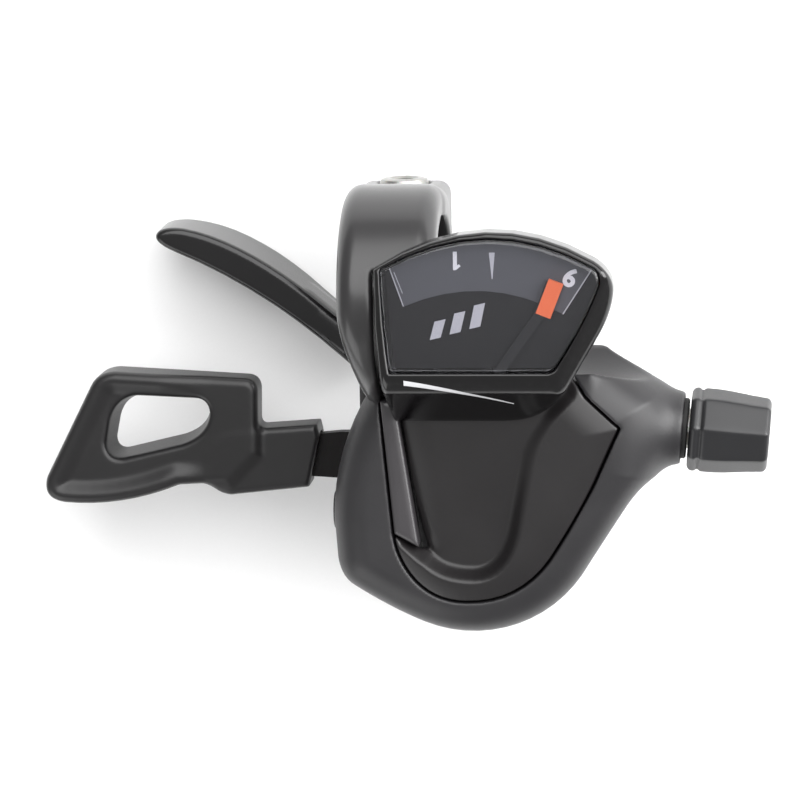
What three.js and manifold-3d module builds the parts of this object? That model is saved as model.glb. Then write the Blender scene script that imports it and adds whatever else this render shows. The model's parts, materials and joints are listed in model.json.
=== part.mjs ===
// Right-hand trigger shifter for a flat handlebar, in millimetres.
// The origin is the centre of the clamp bore, on the handlebar's axis. +X runs along the bar towards
// the stem, +Y points at the rider, and +Z is up, the way the gear display faces.
import * as THREE from "three";
import { mergeVertices } from "three/addons/utils/BufferGeometryUtils.js";
import Module from "manifold-3d";

const wasm = await Module();
wasm.setup();

// ---------------------------------------------------------------- driving dimensions

const gap = 0.3; // clearance between pieces that touch or slide
const rad = THREE.MathUtils.degToRad;

const bar = { radius: 11.1, clearance: 0.7 }; // a 22.2 mm handlebar, and the room left round it

const clamp = {
  wall: 4.4,
  width: 13.5,
  chamfer: 1.4,
  slit: 1.6,
  armWidth: 2.9, // the narrowed band beside the display
  lugDepth: 3.2, // how far the lugs stand below the ring
};
clamp.radius = bar.radius + clamp.wall;
clamp.armFrom = bar.radius - 5.9; // the band is full width on the rider's side of this Y
clamp.lugTop = clamp.radius - 1.3;
clamp.lugFoot = 1.7 - bar.radius;

const bolt = {
  radius: 2.0,
  headRadius: 3.5,
  headLength: 4.0,
  socket: 1.6,
  proud: 0.7,
  nutSide: 6.8,
  nutThickness: 2.8,
};
bolt.z = -(bar.radius + 1.1 + bolt.radius);

const spool = { flange: 13.2, groove: 11.7, grooveWidth: 1.8, cable: 0.6 };
spool.wrap = spool.groove + spool.cable;

// The main axle stands along Z, as near the bar as the spool fits beside the clamp.
const pivot = { x: 10.5, standOff: clamp.wall + gap + spool.flange };
pivot.y = -(bar.radius + pivot.standOff);

const plate = { top: -9.5, thickness: 1.5, inset: 1.1 };
plate.foot = plate.top - plate.thickness;

const axle = { radius: 2.5, headRadius: 4.2, headLength: 1.0, nutRadius: 4.2, nutThickness: 1.1 };
const bush = { wall: 0.8 };

// The mechanism is a stack of layers on the axle. Each layer starts a gap above the one below.
const thickness = { drive: 1.5, ratchet: 2.0, spool: 6.0, spring: 1.2, needle: 0.8 };
const level = {};
level.drive = plate.top + gap;
level.ratchet = level.drive + thickness.drive + gap;
level.spool = level.ratchet + thickness.ratchet + gap;
level.spring = level.spool + thickness.spool + gap;
level.needle = level.spring + thickness.spring + gap;
level.nut = level.needle + thickness.needle + gap;
level.axleTop = level.nut + axle.nutThickness - 0.1;

spool.cableZ = level.spool + thickness.spool / 2;

const housing = {
  foot: plate.top,
  belly: 18.5, // radius of the round belly about the main axle
  cavity: 15.6, // radius of the room for the mechanism
  bevel: 1.6,
  shoulder: 20.6, // how far the body reaches from the axle towards the rider
  rim: 2.8, // its thickness over the sill
};
housing.sill = level.needle + 0.5; // the ledge that the cover sits on
housing.top = housing.sill + housing.rim;

const cover = {
  foot: housing.sill + gap,
  relief: level.axleTop + gap + 0.1, // the underside over the axle and its nut
  skin: 1.3,
  pocket: 1.1,
  bevel: 0.7,
};
cover.pocketFloor = cover.relief + cover.skin;
cover.top = cover.pocketFloor + cover.pocket;
const trim = { top: cover.top + 0.4 };

const ratchet = { teeth: 21, root: 9.2, tip: 10.6 };
const pawl = { pinRadius: 1.2, orbit: 13.2, reach: 6.6, width: 2.6, tipGap: 0.5 };

// Under the base plate: the trigger's arm, then the thumb lever's, then a cap and the axle's head.
const trigger = { foot: -16.2, thickness: 1.8, hub: 4.6, armWidth: 6.2, armLength: 21.9, pinRadius: 1.8 };
trigger.x = pivot.x - 12;
trigger.y = pivot.y + 3.8;
const thumb = { foot: -21.0, thickness: 2.0, hub: 7.6, rest: 139 };
const cap = { radius: 9.4, thickness: 1.8 };
cap.top = thumb.foot - gap;

const screw = { radius: 1.1, headRadius: 2.0, headLength: 1.1, length: 6.5 };
const screwPlaces = [
  [-15.7, -9.2],
  [17.7, 2],
  [17.7, 15.5],
].map(([x, y]) => [pivot.x + x, pivot.y + y]);
const bracketScrew = { x: pivot.x - 14.1, y: pivot.y + 8.8, length: 4.0 };
const tongue = { foot: plate.top + gap, thickness: 2.8 };

const display = {
  foot: cover.top + gap,
  shelf: bar.radius + 1.3, // the underside over the bar
  wall: 1.2,
  lensThickness: 1.2,
  dialThickness: 0.6,
};
display.dialTop = display.shelf + 3.0;
display.needleFoot = display.dialTop + 0.5;
display.top = display.dialTop + 3.0;
const needle = {
  tipFrom: 30.6,
  tipTo: 35.2,
  thickness: 0.6,
  rest: -20.5, // the angle of the last gear's place, from the rider's side
  crank: 7,
  armWidth: 1.6,
  armThickness: 0.8,
  riser: pivot.standOff - 1.3, // radius at which the arm climbs past the bar
  landing: 20.6, // and where it reaches the dial's level
  lift: display.foot + 1.1,
  sweep: 25, // from the last gear's place back to the first's
  sideRoom: 5.5, // degrees left beside the arm
};

const needleFrom = 90 + needle.rest + needle.crank;
const needleSweep = [needleFrom - needle.sideRoom, needleFrom + needle.sweep + needle.sideRoom];

const barrel = {
  tilt: rad(-5),
  neckEnd: 27.9,
  neckRadius: 4.85,
  neckLength: 12,
  step: 0.5, // how far the flared neck stays inside the body's faces
  bore: 3.1,
  collar: 0.8,
  length: 11.2,
  bigRadius: 5.8,
  smallRadius: 4.8,
  seat: 3.2, // the socket for a 6 mm cable ferrule
  seatDepth: 5.5,
  screwFrom: 15,
};
barrel.collarFrom = barrel.neckEnd + gap;
barrel.knobFrom = barrel.collarFrom + barrel.collar + gap;

// ---------------------------------------------------------------- materials

const finish = (colour, roughness, metalness = 0) =>
  new THREE.MeshStandardMaterial({ color: colour, roughness, metalness });
const finishes = {
  housing: finish(0x3a393b, 0.5),
  cover: finish(0x333234, 0.42),
  clamp: finish(0x474648, 0.35, 0.2),
  gloss: finish(0x0c0b0d, 0.12),
  lens: finish(0x1a1a1e, 0.05),
  dial: finish(0x46474b, 0.5),
  orange: finish(0xf26a3c, 0.5),
  grip: finish(0x262526, 0.6),
  knob: finish(0x3c3c3e, 0.45),
  black_steel: finish(0x222021, 0.45, 0.8),
  steel: finish(0xb4b4b0, 0.35, 1.0),
  brass: finish(0xb08d4a, 0.4, 1.0),
  nylon: finish(0xd8d5cb, 0.6),
  rubber: finish(0x1b1b1b, 0.85),
};

// ---------------------------------------------------------------- solids from three.js geometry

// A closed geometry as a manifold-3d solid, facing out.
function solid(geometry) {
  const bare = new THREE.BufferGeometry().setAttribute("position", geometry.getAttribute("position"));
  if (geometry.index) bare.setIndex(geometry.index);
  const merged = mergeVertices(bare, 1e-4);
  const vertProperties = merged.attributes.position.array;
  const triVerts = new Uint32Array(merged.index.array);
  const made = new wasm.Manifold(new wasm.Mesh({ numProp: 3, vertProperties, triVerts }));
  if (made.volume() > 0) return made;
  return new wasm.Manifold(new wasm.Mesh({ numProp: 3, vertProperties, triVerts: triVerts.reverse() }));
}

const parts = new THREE.Group();

// Adds a solid to the part as one named mesh.
function addPart(name, shape, material) {
  const { vertProperties, triVerts } = shape.getMesh();
  const geometry = new THREE.BufferGeometry();
  geometry.setAttribute("position", new THREE.BufferAttribute(new Float32Array(vertProperties), 3));
  geometry.setIndex(new THREE.BufferAttribute(new Uint32Array(triVerts), 1));
  geometry.computeVertexNormals();
  const mesh = new THREE.Mesh(geometry, material);
  mesh.name = name;
  parts.add(mesh);
}

// An outline extruded from z = low to z = high, with its outer edges bevelled.
function slabGeometry(shape, low, high, bevel = 0, curveSegments = 6) {
  const geometry = new THREE.ExtrudeGeometry(shape, {
    depth: high - low - 2 * bevel,
    bevelEnabled: bevel > 0,
    bevelThickness: bevel,
    bevelSize: bevel,
    bevelOffset: -bevel,
    bevelSegments: 2,
    curveSegments,
  });
  return geometry.translate(0, 0, low + bevel);
}
const slab = (...values) => solid(slabGeometry(...values));

// The same with the outline in the (Y, Z) plane, extruded along X.
const toX = new THREE.Matrix4().makeBasis(
  new THREE.Vector3(0, 1, 0),
  new THREE.Vector3(0, 0, 1),
  new THREE.Vector3(1, 0, 0),
);
const slabX = (...values) => solid(slabGeometry(...values).applyMatrix4(toX));

function box(x0, x1, y0, y1, z0, z1) {
  const geometry = new THREE.BoxGeometry(x1 - x0, y1 - y0, z1 - z0);
  return solid(geometry.translate((x0 + x1) / 2, (y0 + y1) / 2, (z0 + z1) / 2));
}

// A cylinder or a prism that stands along Z.
function rod(x, y, radius, low, high, sides = 32) {
  const geometry = new THREE.CylinderGeometry(radius, radius, high - low, sides);
  return solid(geometry.rotateX(Math.PI / 2).translate(x, y, (low + high) / 2));
}

const ring = (x, y, inner, outer, low, high, sides = 32) =>
  rod(x, y, outer, low, high, sides).subtract(rod(x, y, inner, low - 1, high + 1, sides));

// The bar's axis and the cable's axis, as frames that a turned solid made along Z is placed in.
const barFrame = toX;
const barSides = 44;
const along = new THREE.Vector3(Math.cos(barrel.tilt), Math.sin(barrel.tilt), 0);
const across = new THREE.Vector3(-along.y, along.x, 0);
const cableStart = new THREE.Vector3(pivot.x, pivot.y, spool.cableZ).addScaledVector(across, spool.wrap);
const cableFrame = new THREE.Matrix4()
  .makeBasis(across, new THREE.Vector3(0, 0, 1), along)
  .setPosition(cableStart);

// A turned solid from [radius, distance] pairs along a frame's Z axis.
function turned(profile, frame = new THREE.Matrix4(), sides = 32) {
  const points = profile.map(([radius, distance]) => new THREE.Vector2(radius, distance));
  const geometry = new THREE.LatheGeometry(points, sides);
  return solid(geometry.rotateX(Math.PI / 2).applyMatrix4(frame));
}

const turnedRod = (radius, from, to, frame, sides) =>
  turned([[0, from], [radius, from], [radius, to], [0, to]], frame, sides);

// A coil of round wire about a point, standing along Z.
function coil(x, y, meanRadius, wire, low, turns) {
  const steps = Math.round(turns * 14);
  const points = [];
  for (let i = 0; i <= steps; i++) {
    const angle = (i / 14) * 2 * Math.PI;
    const z = low + wire + (i / 14) * wire * 2.5;
    points.push(new THREE.Vector3(x + meanRadius * Math.cos(angle), y + meanRadius * Math.sin(angle), z));
  }
  const section = new THREE.Shape().absarc(0, 0, wire / 2, 0, 2 * Math.PI);
  const extrudePath = new THREE.CatmullRomCurve3(points);
  return solid(new THREE.ExtrudeGeometry(section, { steps, extrudePath, curveSegments: 3 }));
}

// A shape drawn about the main axle, put in its place.
function fromAxle(shape, curveSegments = 6) {
  const points = shape.getPoints(curveSegments);
  if (points[0].distanceTo(points.at(-1)) < 1e-6) points.pop();
  return new THREE.Shape(points.map((point) => new THREE.Vector2(pivot.x + point.x, pivot.y + point.y)));
}

const polygon = (corners) => new THREE.Shape(corners.map(([x, y]) => new THREE.Vector2(x, y)));

// A point at a distance and an angle in degrees from the main axle.
const polar = (radius, degrees) => [
  pivot.x + radius * Math.cos(rad(degrees)),
  pivot.y + radius * Math.sin(rad(degrees)),
];

// A sector of a ring about the main axle.
function sector(inner, outer, fromDegrees, toDegrees) {
  const shape = new THREE.Shape();
  shape.absarc(pivot.x, pivot.y, outer, rad(fromDegrees), rad(toDegrees), false);
  shape.absarc(pivot.x, pivot.y, inner, rad(toDegrees), rad(fromDegrees), true);
  return shape;
}

// An outline moved inwards (or outwards, if negative) by a distance.
function inset(shape, distance, curveSegments = 6) {
  const points = shape.getPoints(curveSegments);
  if (points[0].distanceTo(points.at(-1)) < 1e-6) points.pop();
  const turn = THREE.ShapeUtils.area(points) > 0 ? 1 : -1;
  return new THREE.Shape(
    points.map((here, i) => {
      const before = here.clone().sub(points.at(i - 1)).normalize();
      const after = points[(i + 1) % points.length].clone().sub(here).normalize();
      const normal = new THREE.Vector2(-(before.y + after.y), before.x + after.x).normalize();
      const stretch = 1 / Math.max(0.4, Math.abs(normal.x * -before.y + normal.y * before.x));
      return here.clone().addScaledVector(normal, turn * distance * stretch);
    }),
  );
}

// ---------------------------------------------------------------- outlines, seen from above

// The housing: a straight outer side, a round belly and the shoulder that the neck grows from.
function housingOutline() {
  const belly = housing.belly;
  const left = [belly * Math.cos(rad(-112)), belly * Math.sin(rad(-112))];
  const shape = new THREE.Shape();
  shape.moveTo(-13.9, 16.5);
  shape.quadraticCurveTo(-19.5, 7.5, -19.5, -2);
  shape.lineTo(-19.1, -8);
  shape.quadraticCurveTo(-18.7, -10.8, -16.7, -12);
  shape.quadraticCurveTo(-11.7, -15.2, ...left);
  shape.absarc(0, 0, belly, rad(-112), rad(-22), false);
  shape.quadraticCurveTo(19.5, -2, 22.1, 2);
  shape.lineTo(22.1, 16);
  shape.quadraticCurveTo(19.9, 18.4, 18.9, 19.8);
  shape.lineTo(16.9, housing.shoulder);
  shape.lineTo(-13.9, housing.shoulder);
  return fromAxle(shape);
}

function coverOutline() {
  const shape = new THREE.Shape();
  shape.moveTo(-11.1, 20.5);
  shape.lineTo(-9.9, 12.5);
  shape.lineTo(-7.1, -5.3);
  shape.lineTo(-10.8, -6.3);
  shape.quadraticCurveTo(-7.9, -12.6, -0.9, -12.7);
  shape.quadraticCurveTo(7.9, -12.6, 11.9, -3.8);
  shape.lineTo(19.4, 12.8);
  shape.lineTo(14.7, 17.4);
  shape.lineTo(13.9, 20.5);
  return fromAxle(shape);
}

// The scoop in the cover, open towards the display.
function pocketOutline() {
  const shape = new THREE.Shape();
  shape.moveTo(-9.1, 17);
  shape.lineTo(-5.5, -5);
  shape.quadraticCurveTo(-3.9, -10, 0.5, -9.9);
  shape.quadraticCurveTo(5.9, -9.6, 6.7, -2);
  shape.quadraticCurveTo(7.3, 8.6, 13.7, 15);
  shape.lineTo(11.5, 17);
  return fromAxle(shape);
}

const trimOutline = () =>
  fromAxle(polygon([[-13.7, 13.4], [-10.4, 13.4], [-7.6, -4.9], [-9.9, -4.6], [-11.5, -2.8]]));

// The display: an arc on the rider's side, a point towards the stem and a slanted front edge.
function bezelOutline() {
  const shape = new THREE.Shape();
  shape.moveTo(-12, 34.6);
  shape.quadraticCurveTo(3.5, 44.4, 17.5, 35.2);
  shape.quadraticCurveTo(20.1, 32.4, 18.7, 28.4);
  shape.quadraticCurveTo(17.7, 25.2, 15.1, 22.6);
  shape.lineTo(8.9, 15.6);
  shape.quadraticCurveTo(8.1, 14.2, 6.1, 14.2);
  shape.lineTo(-9.3, 14.2);
  shape.quadraticCurveTo(-11.1, 20, -12, 27);
  return fromAxle(shape);
}

function lensOutline() {
  const shape = new THREE.Shape();
  shape.moveTo(-11.2, 34.2);
  shape.quadraticCurveTo(3.1, 41.8, 16.7, 34.4);
  shape.quadraticCurveTo(15.1, 27.2, 9.9, 20.8);
  shape.lineTo(-10.3, 20.8);
  shape.quadraticCurveTo(-11.2, 26, -11.2, 34.2);
  return fromAxle(shape);
}

// ---------------------------------------------------------------- fixed pieces

const tongueOutline = () =>
  fromAxle(polygon([[-16.7, 17.2], [-6.9, 17.2], [-6.9, 13], [-11.1, 8], [-11.1, 5.6], [-16.7, 5.6]]));

function clampBand() {
  const half = clamp.width / 2;
  const edge = clamp.chamfer;
  const band = turned(
    [
      [bar.radius, -half],
      [clamp.radius - edge, -half],
      [clamp.radius, edge - half],
      [clamp.radius, half - edge],
      [clamp.radius - edge, half],
      [bar.radius, half],
      [bar.radius, -half],
    ],
    barFrame,
    barSides,
  );
  const lugLow = -(clamp.radius + clamp.lugDepth);
  const lug = slabX(
    polygon([
      [clamp.lugFoot, 3.1 - bar.radius],
      [clamp.lugFoot, lugLow + 2],
      [clamp.lugFoot + 2, lugLow],
      [clamp.lugTop - 1, lugLow],
      [clamp.lugTop, lugLow + 1],
      [clamp.lugTop, 5.6 - bar.radius],
    ]),
    -half + 0.3,
    half - 0.3,
    1.0,
  );
  const arm = slab(tongueOutline(), tongue.foot, tongue.foot + tongue.thickness);
  return band
    .add(lug)
    .add(arm)
    .subtract(turnedRod(bar.radius, -half - 1, half + 1, barFrame, barSides))
    .subtract(box(-half - 1, half + 1, -clamp.slit / 2, clamp.slit / 2, lugLow - 1, 0))
    .subtract(box(clamp.armWidth - half, half + 1, -20, clamp.armFrom, -3, clamp.radius + 1))
    .subtract(boltHole())
    .subtract(rod(bracketScrew.x, bracketScrew.y, screw.radius + gap, -20, 0, 16));
}

// Along Y, from a Z rod: the bolt lies across the bar, below it.
const boltFrame = new THREE.Matrix4()
  .makeBasis(new THREE.Vector3(0, 0, 1), new THREE.Vector3(1, 0, 0), new THREE.Vector3(0, 1, 0))
  .setPosition(0, 0, bolt.z);
const nutHalf = bolt.nutSide / 2;
const nutFoot = clamp.lugFoot + 0.4;
const headTop = clamp.lugTop + bolt.proud;

function boltHole() {
  const head = turnedRod(bolt.headRadius + gap, headTop - bolt.headLength - gap, 30, boltFrame, 24);
  const shank = turnedRod(bolt.radius + gap, -20, 20, boltFrame, 24);
  const reach = nutHalf + gap;
  const nut = box(-reach, reach, -20, nutFoot + bolt.nutThickness + gap, bolt.z - reach, bolt.z + reach);
  return head.add(shank).add(nut);
}

function clampBolt() {
  const headFoot = headTop - bolt.headLength;
  return turned(
    [
      [0, nutFoot - 0.2],
      [bolt.radius, nutFoot - 0.2],
      [bolt.radius, headFoot],
      [bolt.headRadius, headFoot],
      [bolt.headRadius, headTop - 0.4],
      [bolt.headRadius - 0.4, headTop],
      [0, headTop],
    ],
    boltFrame,
    24,
  ).subtract(turnedRod(bolt.socket, headTop - 2.2, headTop + 1, boltFrame, 6));
}

const clampNut = () =>
  box(-nutHalf, nutHalf, nutFoot, nutFoot + bolt.nutThickness, bolt.z - nutHalf, bolt.z + nutHalf)
    .subtract(turnedRod(bolt.radius + gap, -20, 20, boltFrame, 24));

// What the bar and the clamp need kept clear of them.
function barRoom(extra = 0) {
  const room = bar.radius + bar.clearance + extra;
  const half = clamp.width / 2 + gap;
  return turnedRod(room, -30, 60, barFrame, barSides).add(
    turnedRod(clamp.radius + gap, -half, half, barFrame, barSides),
  );
}

// The neck flares as it nears the body, so that its outline runs into the belly and the shoulder.
function neck() {
  const profile = [[0, barrel.neckEnd - barrel.neckLength]];
  const steps = 8;
  for (let i = steps; i >= 0; i--) {
    const back = (barrel.neckLength * i) / steps;
    profile.push([barrel.neckRadius + 0.35 * back + 0.05 * back ** 2, barrel.neckEnd - back]);
  }
  profile.push([0, barrel.neckEnd]);
  const bound = box(
    pivot.x,
    pivot.x + 60,
    pivot.y - 60,
    pivot.y + housing.shoulder - barrel.step,
    housing.foot + barrel.step,
    housing.top - barrel.step,
  );
  return turned(profile, cableFrame, 32).intersect(bound);
}

function housingShell() {
  const tongueRoom = slab(
    inset(tongueOutline(), -gap),
    housing.foot - 1,
    tongue.foot + tongue.thickness + gap,
  );
  const needlePath = sector(needle.riser - 3, needle.riser + 0.9, ...needleSweep);
  let shell = slab(housingOutline(), housing.foot, housing.top, housing.bevel)
    .add(neck())
    .subtract(barRoom())
    .subtract(rod(pivot.x, pivot.y, housing.cavity, housing.foot - 1, housing.sill + 0.1, 40))
    .subtract(slab(inset(coverOutline(), -gap), housing.sill, housing.top + 4))
    .subtract(slab(inset(trimOutline(), -gap), housing.sill, housing.top + 4))
    .subtract(tongueRoom)
    .subtract(slab(needlePath, level.spring, housing.top + 6))
    .subtract(turnedRod(barrel.bore, 2, barrel.neckEnd + 2, cableFrame, 24))
    .subtract(portHole(3.0 + gap));
  for (const [x, y] of screwPlaces) {
    const hole = rod(x, y, screw.radius + gap, housing.foot - 1, housing.foot + screw.length, 16);
    shell = shell.subtract(hole);
  }
  return shell;
}

function topCover() {
  const path = (inner) => sector(needle.riser - inner, needle.riser + 0.7, ...needleSweep);
  return slab(coverOutline(), cover.foot, cover.top, cover.bevel)
    .subtract(slab(pocketOutline(), cover.pocketFloor, cover.top + 1))
    .subtract(rod(pivot.x, pivot.y, housing.cavity - 1, cover.foot - 1, cover.relief, 48))
    .subtract(slab(path(3), cover.foot - 1, cover.relief))
    .subtract(slab(path(0.7), cover.foot - 1, cover.top + 1))
    .subtract(barRoom(0.1));
}

const sideTrim = () => slab(trimOutline(), cover.foot, trim.top, 0.5).subtract(barRoom());

// The round plug over the hole that the cable is threaded in by, in the housing's outer side.
const portFrame = new THREE.Matrix4()
  .makeBasis(new THREE.Vector3(0, 0, -1), new THREE.Vector3(0, 1, 0), new THREE.Vector3(1, 0, 0))
  .setPosition(pivot.x - 19.9, pivot.y - 2, spool.cableZ);
const portHole = (radius) => turnedRod(radius, -2, 6, portFrame, 24);
const portSlot = () =>
  box(pivot.x - 22, pivot.x - 19.3, pivot.y - 4, pivot.y, spool.cableZ - 0.4, spool.cableZ + 0.4);
const cablePortPlug = () =>
  turned([[0, 0], [2.6, 0], [3.0, 0.4], [3.0, 3.2], [0, 3.2]], portFrame, 24)
    .subtract(portSlot());

function basePlate() {
  const outline = inset(housingOutline(), plate.inset);
  let sheet = slab(outline, plate.foot, plate.top)
    .subtract(barRoom(1.2))
    .subtract(rod(pivot.x, pivot.y, sleeveRadius + gap, plate.foot - 1, plate.top + 1))
    .subtract(rod(bracketScrew.x, bracketScrew.y, screw.radius + gap, -20, 0, 16))
    .subtract(rod(trigger.x, trigger.y, trigger.pinRadius + gap, -20, 0, 20));
  for (const [x, y] of screwPlaces) sheet = sheet.subtract(rod(x, y, screw.radius + gap, -20, 0, 16));
  sheet = sheet.subtract(rod(...holdingPivot, pawl.pinRadius + gap, -20, 0, 16));
  sheet = sheet.subtract(rod(...stopPlace, 1.5 + gap, -20, 0, 16));
  return sheet;
}

// A pan-head screw driven upwards from under the base plate.
const panScrew = (x, y, length) =>
  turned(
    [
      [0, -screw.headLength],
      [screw.headRadius - 0.5, -screw.headLength],
      [screw.headRadius, -0.4],
      [screw.headRadius, 0],
      [screw.radius, 0],
      [screw.radius, length],
      [0, length],
    ],
    new THREE.Matrix4().makeTranslation(x, y, plate.foot - gap),
    16,
  ).subtract(box(x - 1.2, x + 1.2, y - 0.25, y + 0.25, plate.foot - 3, plate.foot - gap - 0.6));

const mainAxle = () =>
  turned(
    [
      [0, cap.top - cap.thickness - gap - axle.headLength],
      [axle.headRadius - 0.4, cap.top - cap.thickness - gap - axle.headLength],
      [axle.headRadius, cap.top - cap.thickness - gap - 0.4],
      [axle.headRadius, cap.top - cap.thickness - gap],
      [axle.radius, cap.top - cap.thickness - gap],
      [axle.radius, level.axleTop],
      [0, level.axleTop],
    ],
    new THREE.Matrix4().makeTranslation(pivot.x, pivot.y, 0),
    28,
  );

const axleNut = () =>
  rod(pivot.x, pivot.y, axle.nutRadius, level.nut, level.nut + axle.nutThickness, 6).subtract(
    rod(pivot.x, pivot.y, axle.radius + gap, 0, 20, 28),
  );

const bushRadius = axle.radius + gap + bush.wall;
const sleeveRadius = axle.radius + gap + 1.2;
const axleBush = () =>
  ring(pivot.x, pivot.y, axle.radius + gap, bushRadius, level.ratchet, level.spring + thickness.spring, 28);
const bottomCap = () =>
  turned(
    [
      [axle.radius + gap, cap.top - cap.thickness],
      [cap.radius - 1.2, cap.top - cap.thickness],
      [cap.radius, cap.top - 0.6],
      [cap.radius, cap.top],
      [axle.radius + gap, cap.top],
      [axle.radius + gap, cap.top - cap.thickness],
    ],
    new THREE.Matrix4().makeTranslation(pivot.x, pivot.y, 0),
    36,
  );

// The spool's flat spiral return spring.
function spiralSpring() {
  const turns = 2.6;
  const steps = 52;
  const first = bushRadius + 1.2;
  const pitch = 1.7;
  const edge = (offset) => (i) => {
    const turned = (turns * i) / steps;
    return polar(first + offset + pitch * turned, 360 * turned);
  };
  const indices = [...Array(steps + 1).keys()];
  const outline = [...indices.map(edge(0.5)), ...indices.reverse().map(edge(0))];
  return slab(polygon(outline), level.spring, level.spring + thickness.spring);
}

const triggerPin = () =>
  turned(
    [
      [0, trigger.foot - gap - 0.8],
      [trigger.pinRadius + 1.0, trigger.foot - gap - 0.8],
      [trigger.pinRadius + 1.0, trigger.foot - gap],
      [trigger.pinRadius, trigger.foot - gap],
      [trigger.pinRadius, plate.top],
      [0, plate.top],
    ],
    new THREE.Matrix4().makeTranslation(trigger.x, trigger.y, 0),
    20,
  );

const holdingPivot = polar(pawl.orbit, 205);
const pawlPin = ([x, y], low) => rod(x, y, pawl.pinRadius, low, level.ratchet + thickness.ratchet, 16);

// ---------------------------------------------------------------- display

function displayBezel() {
  const side = new THREE.Shape();
  const y = (fromPivot) => pivot.y + fromPivot;
  side.moveTo(y(41), display.top - 0.8);
  side.lineTo(y(20.8), display.top);
  side.quadraticCurveTo(y(16.4), display.top - 0.8, y(15.6), display.shelf + 0.2);
  side.lineTo(y(14.2), display.foot);
  side.lineTo(y(19.5), display.foot);
  side.lineTo(y(23), display.shelf);
  side.lineTo(y(41), display.shelf);
  const inner = inset(bezelOutline(), display.wall);
  const innerSide = new THREE.Shape();
  innerSide.moveTo(y(41), display.top - 1.8);
  innerSide.lineTo(y(20.8), display.top - display.lensThickness - gap);
  innerSide.lineTo(y(19.2), display.top - 2.0);
  innerSide.lineTo(y(18.1), display.dialTop);
  innerSide.lineTo(y(15.4), display.foot + 1.7);
  innerSide.lineTo(y(15.4), display.foot - 1);
  innerSide.lineTo(y(41), display.foot - 1);
  const room = slab(inner, 0, 30).intersect(slabX(innerSide, -10, 40));
  const ringRoom = turnedRod(clamp.radius + gap, -10, clamp.width / 2 + gap, barFrame, barSides).intersect(
    box(-10, clamp.width / 2 + gap, clamp.armFrom - gap, 40, 0, 40),
  );
  return slab(bezelOutline(), display.foot, display.top + 1)
    .intersect(slabX(side, -10, 40))
    .subtract(room)
    .subtract(slab(inset(lensOutline(), -gap), display.dialTop - 1.4, 40))
    .subtract(turnedRod(bar.radius + 1.1, -30, 60, barFrame, barSides))
    .subtract(ringRoom);
}

const displayLens = () =>
  slab(lensOutline(), display.top - display.lensThickness - 0.2, display.top - 0.2, 0.3);

function dialPlate() {
  const outline = inset(lensOutline(), 0.6);
  return slab(outline, display.dialTop - display.dialThickness, display.dialTop).subtract(
    box(-40, 60, -60, pivot.y + 22.4, 0, 30),
  );
}

// The indicator: a cranked arm from the axle, up through the cover and out over the dial.
function indicatorNeedle() {
  const tipAngle = 90 + needle.rest;
  const armAngle = tipAngle + needle.crank;
  const inArmPlane = (geometry) =>
    solid(geometry.rotateX(Math.PI / 2).rotateZ(rad(armAngle)).translate(pivot.x, pivot.y, 0));
  const lowTop = level.needle + thickness.needle;
  const high = display.needleFoot + needle.thickness;
  const half = needle.armThickness / 2;
  const crank = polygon([
    [axle.radius + gap + 0.4, level.needle],
    [needle.riser + half, level.needle],
    [needle.riser + half, needle.lift],
    [needle.landing + half, display.needleFoot - half],
    [needle.landing + 1.2, display.needleFoot],
    [needle.landing + 1.2, high],
    [needle.landing - half, high - half],
    [needle.riser - half, needle.lift + half],
    [needle.riser - half, lowTop],
    [axle.radius + gap + 0.4, lowTop],
  ]);
  const pointer = polygon([
    polar(needle.landing + 0.6, armAngle - 2),
    polar(needle.tipFrom, tipAngle - 1.4),
    polar(needle.tipTo, tipAngle - 1.2),
    polar(needle.tipTo, tipAngle + 1.2),
    polar(needle.tipFrom, tipAngle + 1.4),
    polar(needle.landing + 0.6, armAngle + 2),
  ]);
  return inArmPlane(slabGeometry(crank, -needle.armWidth / 2, needle.armWidth / 2))
    .add(ring(pivot.x, pivot.y, axle.radius + gap, axle.radius + 2, level.needle, lowTop, 28))
    .add(slab(pointer, display.needleFoot, high));
}

// ---------------------------------------------------------------- spool and pawls

function cableSpool() {
  const low = level.spool;
  const high = low + thickness.spool;
  const middle = (low + high) / 2;
  const half = spool.grooveWidth / 2;
  const bore = bushRadius + gap;
  return turned(
    [
      [bore, low],
      [spool.flange - 1.0, low],
      [spool.flange, low + 0.8],
      [spool.flange, middle - half],
      [spool.groove, middle - half],
      [spool.groove, middle + half],
      [spool.flange, middle + half],
      [spool.flange, high - 0.8],
      [spool.flange - 1.0, high],
      [bore, high],
      [bore, low],
    ],
    new THREE.Matrix4().makeTranslation(pivot.x, pivot.y, 0),
    32,
  ).subtract(rod(...polar(spool.groove - 1.2, 150), 2.0, middle - 2.2, high + 1, 16));
}

function ratchetWheel() {
  const corners = [];
  for (let i = 0; i < ratchet.teeth; i++) {
    const start = (360 * i) / ratchet.teeth;
    corners.push(polar(ratchet.root, start), polar(ratchet.tip, start + 1.5));
    corners.push(polar(ratchet.tip - 0.2, start + 4));
  }
  return slab(polygon(corners), level.ratchet, level.ratchet + thickness.ratchet).subtract(
    rod(pivot.x, pivot.y, bushRadius + gap, -20, 20, 28),
  );
}

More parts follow.
